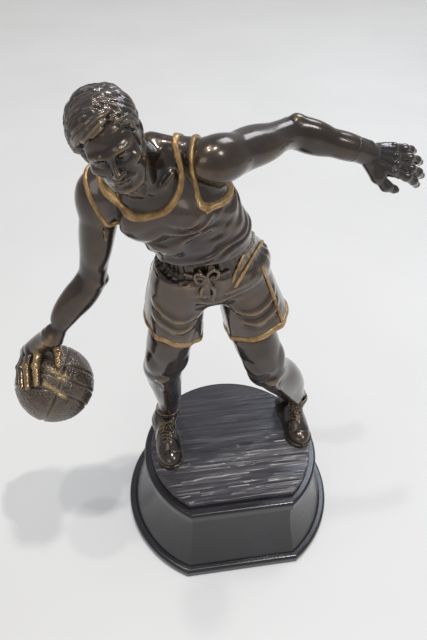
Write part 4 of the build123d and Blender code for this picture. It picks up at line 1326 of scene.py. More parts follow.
# puffed cloth between the pulls: loft, points, height, width
PUFFS = (
    (L_LEG_CLOTH, [(0.26, -96), (0.30, -66)], 1.0, 1.9),
    (L_LEG_CLOTH, [(0.50, -92), (0.56, -64)], 1.1, 2.1),
    (R_LEG_CLOTH, [(0.22, -120), (0.26, -100)], 0.8, 1.8),
    (R_LEG_CLOTH, [(0.74, -128), (0.76, -100)], 0.7, 2.0),
)


def closeness(loft, grid):
    """1 near the loft's surface, fading to 0 at 3 mm from it."""
    return np.clip((3.0 - np.abs(loft.distance(grid))) / 2.0, 0, 1)


def drape_shorts(angle, share, field):
    """Flutes, folds, seams and gathers; angle and share are polar on the pelvis."""
    grid = field.grid()
    for loft, number, height, phase, drift in FLUTES:
        turn, down = loft.polar(grid)
        deepen = np.clip((down - 0.25) / 0.75, 0, 1) ** 1.2
        flute = np.cos(np.radians(turn) * number + phase + drift * down * 2.0)
        field.dist = field.dist - single(height * deepen * closeness(loft, grid) * flute)
    for loft, points, height, width in LEG_FOLDS:
        fold(field, loft, points, height, width, groove=(-height * 0.45, width * 0.8),
             slip=(0.075, 0.0), count=16, lift=0.2)
    for points, height, width in PELVIS_FOLDS:
        fold(field, PELVIS, points, height, width, groove=(-height * 0.5, width * 0.8),
             slip=(-0.07, 0.0), count=16, lift=0.2)
    for loft, points, height, width in PUFFS:
        field.ridge(loft.line(points, 10, 0.2), height, width)
    # fly seam, then a sunk line under the waistband
    field.ridge(PELVIS.line([(0.52, -91), (0.36, -90), (0.20, -90)], 12), -0.35, 0.45)
    field.ridge([PELVIS.at(WAIST_SHARE, turn) for turn in range(46, 286, 10)], -0.35, 0.6)
    # gathers in the waistband and in the cloth below it
    turn, near = np.radians(angle), closeness(PELVIS, grid)
    gather = np.cos(turn * 44 + 1.3 * np.sin(turn * 5)) + 0.5 * np.cos(turn * 27 + 1.0)
    above = np.clip((share - WAIST_SHARE) / 0.06, 0, 1)
    field.dist = field.dist - single(0.13 * near * gather * above)
    below = (np.clip((share - 0.34) / 0.22, 0, 1)
             * np.clip((WAIST_SHARE + 0.02 - share) / 0.05, 0, 1))
    gather = np.cos(turn * 19 + 1.6 * np.sin(turn * 3) + 2.0 * share)
    field.dist = field.dist - single(0.24 * near * below * gather)


def build_shorts():
    field = Field((-44, -19, 108), (26, 19, 168), STEP["body"])
    grid = field.grid()
    field.add(PELVIS, 0)
    field.add(R_LEG_CLOTH, 4.2)
    field.add(L_LEG_CLOTH, 4.2)
    # seat, and the hip pushed out on the left
    for side in (-1, 1):
        field.add(ellipsoid(vec(-11.4, 6.0, 144.5) + (side * 8.4, 0, 0), (8.2, 7.6, 9.2),
                            (1, 0, 0), (0, -0.15, 1)), 3.0)
    field.add(ellipsoid((-1.4, 3.2, 148.6), (8.8, 9.0, 8.8), (1, 0, 0), (-0.3, 0, 1)), 4.0)
    angle, share = PELVIS.polar(grid)
    drape_shorts(angle, share, field)
    share = single(share)
    shell = field.like(field.dist)
    # hollow the legs from below
    for leg in (R_TROUSER, L_TROUSER):
        inner = trouser_loft(leg, grow=-2.6, bottom=leg.hem + 0.10, cap_blend=0.8)
        ceiling = inner.stations[-1] - inner.length * 0.50
        hollow = soft_max(inner.distance(grid), single(ceiling - dot(grid, inner.axis)), 2.0)
        field.trim(-hollow, 0.25)
    # the cloth rides up over the band on the left hip
    rise = np.clip((58.0 - np.abs(angle + 14.0)) / 34.0, 0, 1)
    rise = rise * rise * (3 - 2 * rise)
    above_cut = single((share - WAIST_SHARE - 0.30 * rise) * PELVIS.length)
    band = field.like(soft_max(field.dist, -above_cut, 0.15))
    # the band takes the darker bronze, with its painted shade
    figure_piece("waistband", band, WAISTBAND_PAINTED_SHADE, "shorts", calm=WAIST_CALM)
    field.trim(above_cut - 0.05, 0.15)
    figure_piece("shorts_cloth", field, SHORTS, "shorts", calm=WAIST_CALM)
    for name, loft in (("hem_trim_right", R_LEG_CLOTH), ("hem_trim_left", L_LEG_CLOTH)):
        build_hem(name, shell, loft)
    build_pipings(shell, above_cut, single((share - WAIST_SHARE - 0.29) * PELVIS.length))


def build_hem(name, shell, loft):
    """A gold band round a trouser leg, following its drapes."""
    grid, end = shell.grid(), loft.middle(1.0)
    past = single(along(grid, loft.axis, end))
    hem = wrap(shell, np.abs(past + 1.25) - 1.2,
               lift=0.40, edge_blend=0.6, depth=0.75, inner_blend=0.25)
    hem.trim(single(distance_to(grid, end) - 17.0), 0.2)
    gold_piece(name, hem)


def build_pipings(shell, above_cut, above_left_top):
    """Gold rails where planes cross the cloth: two and a side seam left, two right."""
    grid = shell.grid()
    x, y, _ = grid

    def beyond(normal, offset):
        return single(dot(grid, unit(normal)) - offset)

    upper_stop = beyond((-0.08076, -0.63602, -0.76744), -104.731)
    lower_stop = -beyond((-0.07593, -0.60800, -0.79030), -115.895)
    # plane normal, plane offset, half width of the rail, where it stops
    left_rails = (((0.86709, -0.41486, -0.27576), -41.727, 0.75, upper_stop),
                  ((0.80448, -0.47799, -0.35262), -50.189, 0.75, upper_stop),
                  ((0.94035, 0.00755, 0.34012), 56.535, 0.9, lower_stop))
    right_rails = (((-0.12, 1.0, -0.06), 1.6, 0.9, None), ((-0.12, 1.0, -0.06), 5.2, 0.9, None))
    for name, rails, top, limits, loft in (
        ("side_piping_left", left_rails, above_left_top, (y - 6.0, -6.0 - x), L_LEG_CLOTH),
        ("side_piping_right", right_rails, above_cut + 0.3, (x + 24.0,), R_LEG_CLOTH),
    ):
        band = None
        for normal, offset, half_width, stop in rails:
            rail = np.abs(even(shell, beyond(normal, offset))) - half_width
            if stop is not None:
                rail = soft_max(rail, stop, 0.3)
            band = rail if band is None else np.minimum(band, rail)
        piping = wrap(shell, single(band),
                      lift=0.50, edge_blend=0.4, depth=0.6, inner_blend=0.25)
        piping.trim(top, 0.2)
        for limit in limits:
            piping.trim(limit, 0.3)
        piping.trim(single(along(grid, loft.axis, loft.middle(1.0)) + 0.6), 0.3)
        gold_piece(name, piping, keep_all=True, calm=WAIST_CALM)


def build_drawstring():
    """A bow with two loops, two ends and the cord to either side."""
    at = PELVIS.at
    middle = at(WAIST_SHARE, -98)
    field = Field(middle - 13, middle + 13, STEP["hand"])
    knot = at(0.70, -100, 0.9)
    field.add(ellipsoid(knot, (1.25, 1.0, 1.0)), 0)
    for points in (
        [knot, at(0.80, -104, 1.5), at(0.82, -110, 1.4), at(0.72, -113, 1.2),
         at(0.62, -108, 1.3), knot],
        [knot, at(0.84, -96, 1.6), at(0.88, -90, 1.4), at(0.80, -86, 1.2),
         at(0.70, -90, 1.2), knot],
        [knot, at(0.58, -97, 1.3), at(0.46, -94, 1.3), at(0.34, -95, 1.4), at(0.27, -93, 1.2)],
        [knot, at(0.58, -104, 1.3), at(0.47, -107, 1.2), at(0.38, -106, 1.3)],
        [at(0.74, -74, 0.3), at(0.72, -88, 0.6), knot, at(0.72, -112, 0.6), at(0.74, -126, 0.3)],
    ):
        field.add(tube(curve(points, 20), 0.62), 0.15)
    figure_piece("drawstring", field, CLOTH, keep_all=True, calm=WAIST_CALM)


# ============================================================ legs
THIGH = ((0.03, 6.2, 6.2), (0.14, 7.9, 8.2), (0.35, 8.8, 9.4), (0.62, 9.0, 9.7))
# share of the shin, offset backwards, half side, half depth
SHIN = ((0.22, 0.4, 4.5, 5.0), (0.45, 1.2, 5.9, 6.5), (0.68, 1.7, 7.3, 7.4), (0.86, 0.8, 7.1, 7.0),
        (1.08, 0, 6.7, 6.6))
# extra muscle on the shin: share, offset sideways, offset to the front, radii, blend
R_LEG_EXTRA = ((0.34, 2.4, -0.6, (4.0, 4.8, 15.0), 3.0),)
L_LEG_EXTRA = ((0.22, 2.2, -0.8, (4.0, 4.8, 11.0), 3.0), (0.58, 4.9, -1.6, (5.0, 5.6, 17.5), 4.5))
LEG_BOTTOM = 49.0


def leg_frame(bone, side):
    """The side direction square to a bone, and the front."""
    side = square_to(side, bone)
    front = np.cross(side, bone)
    return side, -front if front[1] > 0 else front


def build_leg(name, joints, side, extra, low, high, node):
    ankle, knee, hip = joints
    field = Field(low, high, STEP["body"])
    shin, thigh = unit(knee - ankle), unit(hip - knee)
    across, front = leg_frame(shin, side)
    thigh_across, thigh_front = leg_frame(thigh, side)

    def on_shin(share):
        return mix(ankle, knee, share)

    field.add(Loft([((ankle[0], ankle[1], LEG_BOTTOM), 4.2, 4.7, side)]
                   + [(on_shin(share) - front * back, wide, deep, side)
                      for share, back, wide, deep in SHIN], cap_blend=5.0), 0)
    field.add(limb(knee, hip, side, THIGH, 5.0), 4.5)
    for hand in (-1, 1):
        # calf head, knee condyle, thigh head above the knee, ankle bone
        field.add(ellipsoid(on_shin(0.67 - 0.03 * hand) - front * 4.0 + across * hand * 3.2,
                            (3.9, 3.9, 10.8), across, shin), 2.4)
        field.add(ellipsoid(knee + across * hand * 4.8 - front * 0.4, (2.6, 3.8, 5.8),
                            across, shin), 3.4)
        field.add(ellipsoid(mix(knee, hip, 0.19) + thigh_across * hand * 4.9 + thigh_front * 2.8,
                            (3.7, 3.8, 7.0), thigh_across, thigh + thigh_across * hand * 0.15), 1.6)
        field.add(ellipsoid(on_shin(0.03) + across * hand * 4.1, (1.3, 1.6, 1.9),
                            across, shin), 1.2)
        # hollow behind the ankle bone, and the edge of the calf against the shin
        field.ridge([on_shin(0.0) + across * hand * 3.6 - front * 2.8,
                     on_shin(0.16) + across * hand * 3.8 - front * 3.0], -0.6, 1.1)
        field.ridge([on_shin(t) + across * hand * (6.0 if t > 0.3 else 4.6)
                     + front * (1.4 - 1.0 * t) for t in (0.25, 0.42, 0.58, 0.74)], -0.35, 1.3)
    for share, aside, ahead, radii, blend in extra:
        field.add(ellipsoid(on_shin(share) + across * aside + front * ahead, radii,
                            across, shin), blend)
    # knee cap, the tendon below it, the groove round it and the groove up the thigh
    field.add(ellipsoid(knee + front * 5.4 + shin * 0.6, (3.1, 2.3, 3.6), across, shin), 1.2)
    field.add(capsule(knee + front * 5.9 - shin * 3.6, knee + front * 5.6 - shin * 7.2,
                      1.5, 1.7), 1.4)
    field.ridge([knee + front * 6.2 + across * x + shin * z
                 for x, z in ((-3.4, 0.8), (-2.4, -2.9), (0, -4.2), (2.4, -2.9), (3.4, 0.8))],
                -0.28, 1.0)
    field.ridge([mix(knee, hip, t) + thigh_front * (7.2 + 1.4 * t) + thigh_across * 0.3
                 for t in (0.12, 0.2, 0.3, 0.4)], -0.35, 1.3)
    # shin edge, tendon of the heel
    field.add(capsule(on_shin(0.12) + front * 3.9, on_shin(0.82) + front * 4.9, 1.3, 1.6), 1.8)
    field.add(capsule(on_shin(-0.04) - front * 4.0, on_shin(0.3) - front * 4.6, 1.1, 1.9), 1.6)
    figure_piece(name, field, SKIN, node)


# ============================================================ shoes
# outline of the sole: place from heel to toe, half width there
RIM_PLACES = [-15.6, -14, -12, -8, -3, 2, 6, 10, 12, 14, 15.6]
RIM_HALF_WIDTHS = [1.0, 4.2, 5.3, 5.6, 5.1, 5.6, 6.3, 6.1, 5.4, 3.9, 0.8]


def rim_width(ahead):
    return np.interp(ahead, RIM_PLACES, RIM_HALF_WIDTHS)


def build_shoe(name, foot, ankle, turn, node, stretch=1.0):
    """A shoe turned by degrees from -Y towards +X, its length scaled by stretch."""
    angle = math.radians(turn)
    toe = vec(math.sin(angle), -math.cos(angle), 0)
    left = vec(math.cos(angle), math.sin(angle), 0)

    def at(ahead, aside, height):
        return foot + toe * ahead * stretch + left * aside + UP * height

    box = (foot - (10.5, 20.5, 1.0), foot + (10.5, 20.5, 20))
    field = Field(*box, STEP["shoe"])
    # upper
    field.add(ellipsoid(at(5.8, 0, 3.4), (9.8 * stretch, 5.9, 4.4), toe, UP), 0)
    field.add(ellipsoid(at(0.5, 0, 5.0), (8.6 * stretch, 5.2, 5.2), toe, UP + toe * -0.35), 2.2)
    field.add(ellipsoid(at(-9.4, 0, 4.8), (6.4 * stretch, 5.4, 6.4), toe, UP), 2.2)
    collar = vec(ankle[0], ankle[1], foot[2] + 12.0)
    field.add(capsule(at(-8.6, 0, 6.0), collar, 5.7, 5.4), 2.4)
    field.add(capsule(at(-1.5, 0, 7.2), collar + toe * 2.6 + UP * 0.4, 3.4, 3.6), 2.0)
    offset = shift(field.grid(), foot)
    ahead, aside, height = dot(offset, toe) / stretch, dot(offset, left), offset[2]
    # the collar is cut level, a little lower at the back
    field.trim(single(height - 12.6 - 0.10 * ahead), 0.8)
    # padded collar and the opening round the ankle
    ring = [collar + toe * 5.2 * math.cos(a) + left * 4.9 * math.sin(a)
            + UP * (0.2 + 0.45 * math.cos(a)) for a in np.linspace(0, 2 * math.pi, 25)]
    field.add(tube(ring, 0.95), 0.35)
    field.cut(capsule(collar + UP * 0.2, collar + UP * 6, 4.6, 5.0), 0.3)
    # sole: a slab with the foot's outline
    half = np.interp(ahead, [-12, -8, -3, 2, 6, 9], [5.4, 5.6, 5.1, 5.6, 6.3, 6.3])
    half = half * np.sqrt(np.clip(1 - np.clip((ahead - 8.5) / 7.3, 0, None) ** 2, 0, 1))
    half = half * np.sqrt(np.clip(1 - np.clip((-ahead - 10.5) / 5.6, 0, None) ** 2, 0, 1))
    outline = single(np.abs(aside - 0.25 * np.clip(ahead, 0, 12) / 12) - half) * 0.8
    slab = soft_max(outline, single(np.abs(height - 1.35) - 1.35), 0.5)
    field.dist = soft_min(field.dist, slab, 0.25)
    field.trim(-single(height), 0.15)
    # line between sole and upper, tread grooves
    for side in (1, -1):
        field.ridge([at(a, side * rim_width(a), 2.75) for a in np.linspace(-15.4, 15.4, 22)],
                    -0.45, 0.5, taper=False)
    for a in np.linspace(-14, 14, 15):
        for side in (-1, 1):
            edge = side * rim_width(a)
            field.ridge([at(a, edge, 0.1), at(a, edge, 1.4)], -0.28, 0.42, taper=False)
    # toe cap seam
    field.ridge(curve([at(8.0, -5.9, 2.9), at(9.6, -3.6, 5.9), at(10.0, 0, 7.1),
                       at(9.6, 3.6, 5.9), at(8.0, 5.9, 2.9)], 14), -0.42, 0.45)
    # side panel, heel counter, lower side band: points, count, height, width
    seams = (
        (((5.2, 5.8, 3.2), (2.4, 5.0, 6.4), (-1.6, 4.2, 9.4), (-4.2, 4.4, 12.0)), 12, 0.30, 0.5),
        (((-4.2, 5.2, 3.2), (-5.4, 5.4, 6.6), (-9.0, 5.6, 8.8), (-13.0, 4.4, 9.6)), 12, -0.35, 0.5),
        (((2.0, 5.4, 3.1), (-3.4, 5.2, 5.8), (-7.6, 5.3, 6.4)), 10, 0.26, 0.6),
    )
    for side in (-1, 1):
        for points, count, rise, width in seams:
            path = [at(a, side * b, c) for a, b, c in points]
            field.ridge(curve(path, count), rise, width)
    # throat: tongue between the facing edges
    field.ridge(curve([at(7.2, 0, 7.6), at(3.4, 0, 9.2), at(-0.6, 0, 11.3), at(-3.4, 0, 14.0)], 12),
                0.35, 1.5)
    for side in (-1, 1):
        field.ridge(curve([at(7.4, side * 1.5, 7.5), at(3.4, side * 2.2, 9.0),
                           at(-0.6, side * 2.5, 10.9), at(-3.6, side * 2.8, 13.0)], 12), -0.42, 0.5)
    figure_piece(name, field, SHOES, node)
    build_laces(name + "_laces", field, box, at, toe, left)


def build_laces(name, shoe, box, at, toe, left):
    """Laces laid over the tongue, and their bow."""
    field = Field(*box, STEP["shoe"] * 0.85)
    heights = np.linspace(2.5, 18, 90)

    def top(ahead, aside):
        """The upper's surface above a point of the sole."""
        inside = np.where(shoe.value([at(ahead, aside, height) for height in heights]) < 0)[0]
        return at(ahead, aside, heights[inside[-1]] + 0.15 if len(inside) else 8)

    rows = [6.4, 4.6, 2.8, 1.0, -0.8]
    for i, row in enumerate(rows):
        half = 2.1 + 0.14 * i
        following = rows[i + 1] if i + 1 < len(rows) else row - 1.7
        field.add(tube([top(row - 0.1 * abs(x), x) for x in np.linspace(-half, half, 7)],
                       0.36), 0.1)
        for side in (-1, 1):
            field.add(tube([top(row + (following - row) * k, side * half * (1 - 2 * k))
                            + UP * (0.1 + 0.12 * side) for k in np.linspace(0, 1, 7)], 0.34), 0.1)
            field.add(ellipsoid(top(row, side * half), (0.55, 0.55, 0.5)), 0.15)
    knot = top(-1.9, 0) + UP * 0.4
    field.add(ellipsoid(knot, (0.9, 0.7, 0.7), left, UP), 0.2)
    for side in (-1, 1):
        out = left * side
        field.add(tube(curve([knot, knot + out * 2.0 + UP * 0.9 + toe * 0.4,
                              knot + out * 3.4 + toe * 1.4 - UP * 0.8,
                              knot + out * 1.9 + toe * 1.2 - UP * 0.6, knot], 14), 0.34), 0.1)
        field.add(tube(curve([knot, knot + out * 1.2 + toe * 1.8 - UP * 0.2,
                              knot + out * 2.0 + toe * 3.6 - UP * 1.5], 8), 0.32), 0.1)
    figure_piece(name, field, SHOES, keep_all=True)


# ============================================================ hands
def add_finger(field, joints, root, tip, back_of, blend):
    """A finger narrowing from root to tip; back_of(point) points out of its back."""
    joints = [vec(joint) for joint in joints]
    radii = np.linspace(root, tip, len(joints))
    for i in range(len(joints) - 1):
        start, end = joints[i], joints[i + 1]
        middle, slim = mix(start, end, 0.5), (radii[i] * 0.55 + radii[i + 1] * 0.45) * 0.93
        field.add(capsule(start, middle, radii[i], slim), blend)
        field.add(capsule(middle, end, slim, radii[i + 1]), 0.35)
    # knuckles, each with two creases
    for i in range(1, len(joints) - 1):
        joint, radius, back = joints[i], radii[i], unit(back_of(joints[i]))
        field.add(ellipsoid(joint + back * radius * 0.25,
                            (radius * 0.98, radius * 0.9, radius * 0.85)), 0.4)
        run = unit(joints[i + 1] - joints[i - 1])
        across = np.cross(run, back)
        for place in (-0.35, 0.35):
            field.ridge([joint + back * radius * 1.15 + across * w + run * place
                         for w in (-0.8, 0, 0.8)], -0.10, 0.22)
    # nail
    end = joints[-1]
    run = unit(end - joints[-2])
    back = square_to(unit(back_of(end)), run)
    across = np.cross(run, back)
    field.add(ellipsoid(end + back * tip * 0.62 + run * tip * 0.15,
                        (tip * 0.72, tip * 0.42, tip * 0.9), across, run), 0.12)
    field.ridge([end + back * tip * 0.95 + across * tip * w + run * tip * z for w, z in
                 ((-0.75, 0.5), (-0.7, -0.5), (0, -0.85), (0.7, -0.5), (0.75, 0.5))],
                -0.22, 0.24, taper=False)


# right fingers: joints from the ball's middle, root radius, tip radius
R_FINGERS = {
    "index": (((-3.4, 1.2, 17.3), (-4.4, -5.2, 16.3), (-4.3, -11.0, 12.7)), 1.75, 1.2),
    "middle": (((-6.6, 3.9, 15.9), (-8.2, -3.4, 14.7), (-7.8, -10.6, 11.0)), 1.75, 1.2),
    "ring": (((-8.6, 6.0, 13.7), (-10.7, -1.8, 12.3), (-10.4, -9.0, 9.2)), 1.6, 1.15),
    "little": (((-9.8, 7.6, 11.6), (-12.2, 1.0, 9.9), (-12.2, -5.6, 7.8)), 1.4, 1.05),
    "thumb": (((2.9, 2.2, 20.6), (3.9, -1.2, 17.6), (3.9, -5.6, 16.0)), 2.1, 1.4),
}
# bones of the right hand's back: finger, offset at the wrist, radius there, at the knuckle
R_HAND_BONES = (("index", (0.4, -1.4, 0), 2.7, 1.9), ("middle", (-0.3, -0.4, 0.1), 2.8, 1.95),
                ("ring", (-0.8, 0.7, -0.1), 2.7, 1.85), ("little", (-1.2, 1.7, -0.6), 2.5, 1.6))


def finger_path(name, scale, first=0):
    """Joints of a right finger, moved outwards from the ball's middle."""
    return [BALL + vec(joint) * scale for joint in R_FINGERS[name][0][first:]]


HAND_GILT = [
    (finger_path("index", 1.08), 1.3, 1.2), (finger_path("thumb", 1.10), 1.4, 1.2),
    (finger_path("middle", 1.08, 1), 0.9, 0.45),
    ([R_WRIST + (-0.6, -3.4, 2.4), R_WRIST + (-3.0, -2.8, -1.4), BALL + (-3.7, 1.2, 19.6)],
     1.0, 0.9),
]


def build_right_hand():
    field = Field(BALL + (-19, -17, 0), BALL + (17, 13, 38), STEP["hand"])
    RIGHT_ARM.sculpt(field)
    for joints, root, tip in R_FINGERS.values():
        add_finger(field, [BALL + joint for joint in joints], root, tip,
                   lambda point: point - BALL, blend=0.7)
    # back of the hand: four bones from the wrist, with knuckles and tendons
    back = unit((-0.55, 0.25, 0.8))
    for name, offset, root, tip in R_HAND_BONES:
        knuckle, start, half = BALL + R_FINGERS[name][0][0], R_WRIST + offset, (root + tip) / 2
        middle = mix(start, knuckle, 0.55) + (-0.1, 0.1, 0.3)
        field.add(tube([mix(R_ELBOW, R_WRIST, 0.94) + vec(offset) * 0.6, start, middle, knuckle],
                       [2.6, root, half, tip]), 2.0)
        field.add(ellipsoid(knuckle + back * 0.5, (1.5, 1.5, 1.5)), 0.7)
        field.ridge([mix(start, middle, 0.3) + back * root, middle + back * (root + tip) / 2,
                     mix(middle, knuckle, 0.7) + back * tip * 1.05], 0.34, 0.55)
    # base of the thumb, the web beside it, and the wrist bone
    field.add(tube([R_WRIST + (0.6, -0.8, -1.5), BALL + (3.2, 2.6, 22.6), BALL + (2.9, 2.2, 20.6)],
                   [2.6, 2.4, 2.1]), 1.4)
    field.add(tube([BALL + (-2.6, 1.6, 19.2), BALL + (0.6, 1.2, 19.4), BALL + (2.9, 0.6, 18.6)],
                   [1.5, 1.3, 1.3]), 1.2)
    field.add(ellipsoid(R_WRIST + (-2.9, 0.8, 0.8), (1.3, 1.5, 1.9)), 1.2)
    grid = field.grid()
    field.trim(-single(distance_to(grid, BALL) - BALL_RADIUS + 0.12), 0.25)
    field.trim(single(-RIGHT_ARM.past_cut(grid)), 0.02)
    figure_piece("hand_right", field, SKIN, "right_hand", calm=RIGHT_ARM.calm, gilt=HAND_GILT)


# the left hand's frame: along it, towards the thumb, towards the palm
HAND_RUN = unit((0.965, -0.01, -0.25))
HAND_THUMB = square_to((0.10, -0.62, -0.70), HAND_RUN)
HAND_PALM = np.cross(HAND_RUN, HAND_THUMB)
# left fingers: place across the hand, knuckle from the wrist, bone lengths, spread, radii
L_FINGERS = ((4.2, 10.2, (4.2, 2.9, 2.2), 0.12, 1.55, 1.1),
             (1.45, 10.8, (4.7, 3.2, 2.3), 0.05, 1.6, 1.12),
             (-1.35, 10.4, (4.4, 3.0, 2.3), -0.07, 1.5, 1.08),
             (-3.9, 9.5, (3.5, 2.4, 2.0), -0.14, 1.35, 1.0))


def left_hand_at(ahead, thumbward, palmward=0.0):
    return L_WRIST + HAND_RUN * ahead + HAND_THUMB * thumbward + HAND_PALM * palmward


def build_left_hand():
    at = left_hand_at
    field = Field(L_WRIST + (-14, -14, -19), L_WRIST + (24, 13, 12), STEP["hand"])
    LEFT_ARM.sculpt(field)
    palm = ((-2.6, 0, 3.3, 2.5), (1.0, 0.1, 3.7, 2.6), (4.4, 0.2, 4.9, 2.5), (8.6, 0.0, 5.6, 2.2),
            (10.6, -0.1, 5.4, 1.8))
    field.add(Loft([(at(ahead, aside), wide, deep, HAND_THUMB)
                    for ahead, aside, wide, deep in palm], axis=HAND_RUN, cap_blend=1.4), 1.6)
    for place, knuckle, lengths, spread, root, tip in L_FINGERS:
        point = at(knuckle, place, -0.2)
        joints = [at(knuckle - 2.6, place * 0.86, 0.2), point]
        for length, degrees in zip(lengths, (4, 20, 38)):
            bend = math.radians(degrees)
            point = point + (HAND_RUN * math.cos(bend) + HAND_PALM * math.sin(bend)
                             + HAND_THUMB * spread) * (length * 1.36)
            joints.append(point)
        palm_side = at(8, place, 6)
        add_finger(field, joints, root * 1.26, tip * 1.25, lambda spot: spot - palm_side, blend=0.7)
        # knuckle and tendon
        field.add(ellipsoid(at(knuckle, place, -0.9), (1.35, 1.45, 1.3)), 0.6)
        field.ridge([at(t, place * (0.35 + 0.062 * t), -2.35) for t in (2.5, 5.0, 7.5, 9.4)],
                    0.36, 0.55)
    # thumb with its base, and the wrist bone
    add_finger(field, [at(2.0, 3.0, 0.8), at(5.6, 6.4, 1.6), at(9.8, 8.6, 2.6), at(13.4, 9.0, 3.2)],
               2.3, 1.55, lambda spot: HAND_THUMB * 0.4 - HAND_PALM, blend=1.5)
    field.add(ellipsoid(at(4.4, 3.8, 1.4), (2.6, 2.0, 3.6), HAND_THUMB,
                        HAND_RUN + HAND_THUMB * 0.7), 1.4)
    field.add(ellipsoid(at(0.2, -2.4, -1.6), (1.3, 1.2, 1.5)), 1.2)
    field.trim(single(-LEFT_ARM.past_cut(field.grid())), 0.02)
    figure_piece("hand_left", field, HAND_BRONZE, "left_hand", calm=LEFT_ARM.calm)


# ============================================================ ball
# strokes on the ball: the first is gold paint along a seam, the other two are painted glints where
# the seams cross below the thumb
BALL_GOLD_AND_GLINTS = [
    ([BALL + (-1.67, -10.15, 11.46), BALL + (1.91, -12.04, 9.41), BALL + (5.16, -13.15, 6.13)],
     0.75, 1.3),
    # painted glint: a bright spot where the seams cross
    ([BALL + (4.08, -8.02, 12.5), BALL + (4.6, -8.4, 12.1)], 1.6, 0.7),
    ([BALL + (1.2, -6.0, 14.2), BALL + (3.6, -7.6, 12.9), BALL + (7.0, -8.2, 11.0)], 0.7, 0.8),
]


def pebble_distance(directions, count=2600):
    """Distance along the ball from each direction to the nearest pebble's middle."""
    i = np.arange(count) + 0.5
    z = 1 - 2 * i / count
    turn, radius = i * math.pi * (3 - math.sqrt(5)), np.sqrt(1 - z * z)
    middles = np.stack([radius * np.cos(turn), radius * np.sin(turn), z], 1)
    middles = middles + np.random.RandomState(2).randn(count, 3) * 0.014
    middles /= np.linalg.norm(middles, axis=1)[:, None]
    tree = kdtree.KDTree(count)
    for number, middle in enumerate(middles):
        tree.insert(middle, number)
    tree.balance()
    return np.array([tree.find(direction)[2] for direction in directions]) * BALL_RADIUS


def build_ball():
    """A sphere with seams, pebbles and soft lumps."""
    field = Field(BALL - 16.6, BALL + 16.6, STEP["hand"])
    field.add(ellipsoid(BALL, (BALL_RADIUS,) * 3), 0)
    points, quads = drop_specks(*surface_nets(field))
    out = (points - BALL) / np.linalg.norm(points - BALL, axis=1)[:, None]
    pole, axis = unit((0.316, -0.547, 0.775)), unit((-0.3334, -0.8289, -0.4491))
    seam = np.full(len(points), 9.0)
    for normal, offset in ((np.cross(pole, axis), 0.0), (axis, 0.0), (axis, 5.8), (axis, -5.8)):
        seam = np.minimum(seam, np.abs((out * BALL_RADIUS) @ normal - offset))
    pebble = 0.17 * np.clip(1 - (pebble_distance(out) / 0.56) ** 2, 0, 1)
    lump = (noise(out[:, 0] * 5.5, out[:, 1] * 5.5, out[:, 2] * 5.5, 3.0) - 0.5) * 0.34
    away = np.clip((seam - 0.45) / 0.5, 0, 1)
    bank = 0.12 * np.exp(-((seam - 0.85) / 0.3) ** 2)
    groove = 0.30 * np.exp(-(seam / 0.26) ** 2)
    radius = BALL_RADIUS - 0.12 + pebble * away + lump * away + bank * 0.6 - groove
    add_mesh("ball_cast", BALL + out * radius[:, None], quads, BALL_BRONZE, "bronze_ball",
             ("ball",), gilt=HAND_GILT + BALL_GOLD_AND_GLINTS)


# ============================================================ court deck
DECK_RADIUS = 37.5
BOARD_PITCH = 6.4


def build_deck():
    """A disc cut straight at the front, with carved grain and board joints along X."""
    field = Field((-38.6, -30.6, 34.8), (38.6, 38.6, 41.0), STEP["deck"])
    x, y, z = field.grid()
    rim = soft_max(single(np.sqrt(x ** 2 + y ** 2) - DECK_RADIUS), -y - 29.6, 0.5)
    wave = 0.10 * (noise(x * 0.06, y * 0.30, 0.0, 5.0) - 0.5)
    field.dist = soft_max(rim, single(z - 40.0 - wave), 0.9)
    field.trim(35.4 - z, 0.3)
    rng = np.random.RandomState(5)
    for i in range(150):
        y0 = -29 + 62 * rng.rand() ** 1.5
        length = 5 + 22 * rng.rand()
        x0 = -34 + 68 * rng.rand()
        tilt = 0.015 * rng.randn()
        height = (0.16 + 0.22 * rng.rand()) * (1.0 if y0 < 4 else 0.5)
        path = [(x0 + length * t, y0 + tilt * length * t + 0.12 * math.sin(3 * t + i), DECK_TOP)
                for t in (-0.5, -0.17, 0.17, 0.5)]
        field.ridge(path, height if i % 3 else -height, 0.32 + 0.2 * rng.rand(), reach=2.4)
    for number in range(-4, 5):
        y0 = BOARD_PITCH * number
        half = math.sqrt(DECK_RADIUS ** 2 - y0 ** 2)
        field.ridge([(x0, y0 + 0.08 * math.sin(x0 * 0.4 + y0), DECK_TOP)
                     for x0 in np.linspace(-half, half, 24)], -0.22, 0.4, taper=False)
    piece("deck_relief", field, DECK_WOOD, "court_wood_grain", ("court_deck",))


# ============================================================ the figure, ball and deck
build_singlet()
build_arm("arm_right", RIGHT_ARM, (-80, -14, 112), (-34, 18, 196), "right_arm")
build_arm("arm_left", LEFT_ARM, (-26, -26, 172), (50, 22, 210), "left_arm")
build_head()
build_hair()
build_shorts()
build_drawstring()
build_leg("leg_right", (R_ANKLE, R_KNEE, R_HIP), vec(1, 0, 0), R_LEG_EXTRA,
          (-44, -14, 45), (-12, 29, 126), "right_leg")
build_leg("leg_left", (L_ANKLE, L_KNEE, L_HIP), vec(1, 0.2, 0), L_LEG_EXTRA,
          (-10, -18, 45), (48, 29, 124), "left_leg")
build_shoe("shoe_right", vec(-29.5, 4.8, DECK_TOP), R_ANKLE, turn=3.0, node="right_shoe")
build_shoe("shoe_left", vec(32.1, 7.6, DECK_TOP), L_ANKLE, turn=4.0, node="left_shoe",
           stretch=0.96)
build_right_hand()
build_left_hand()
build_ball()
build_deck()

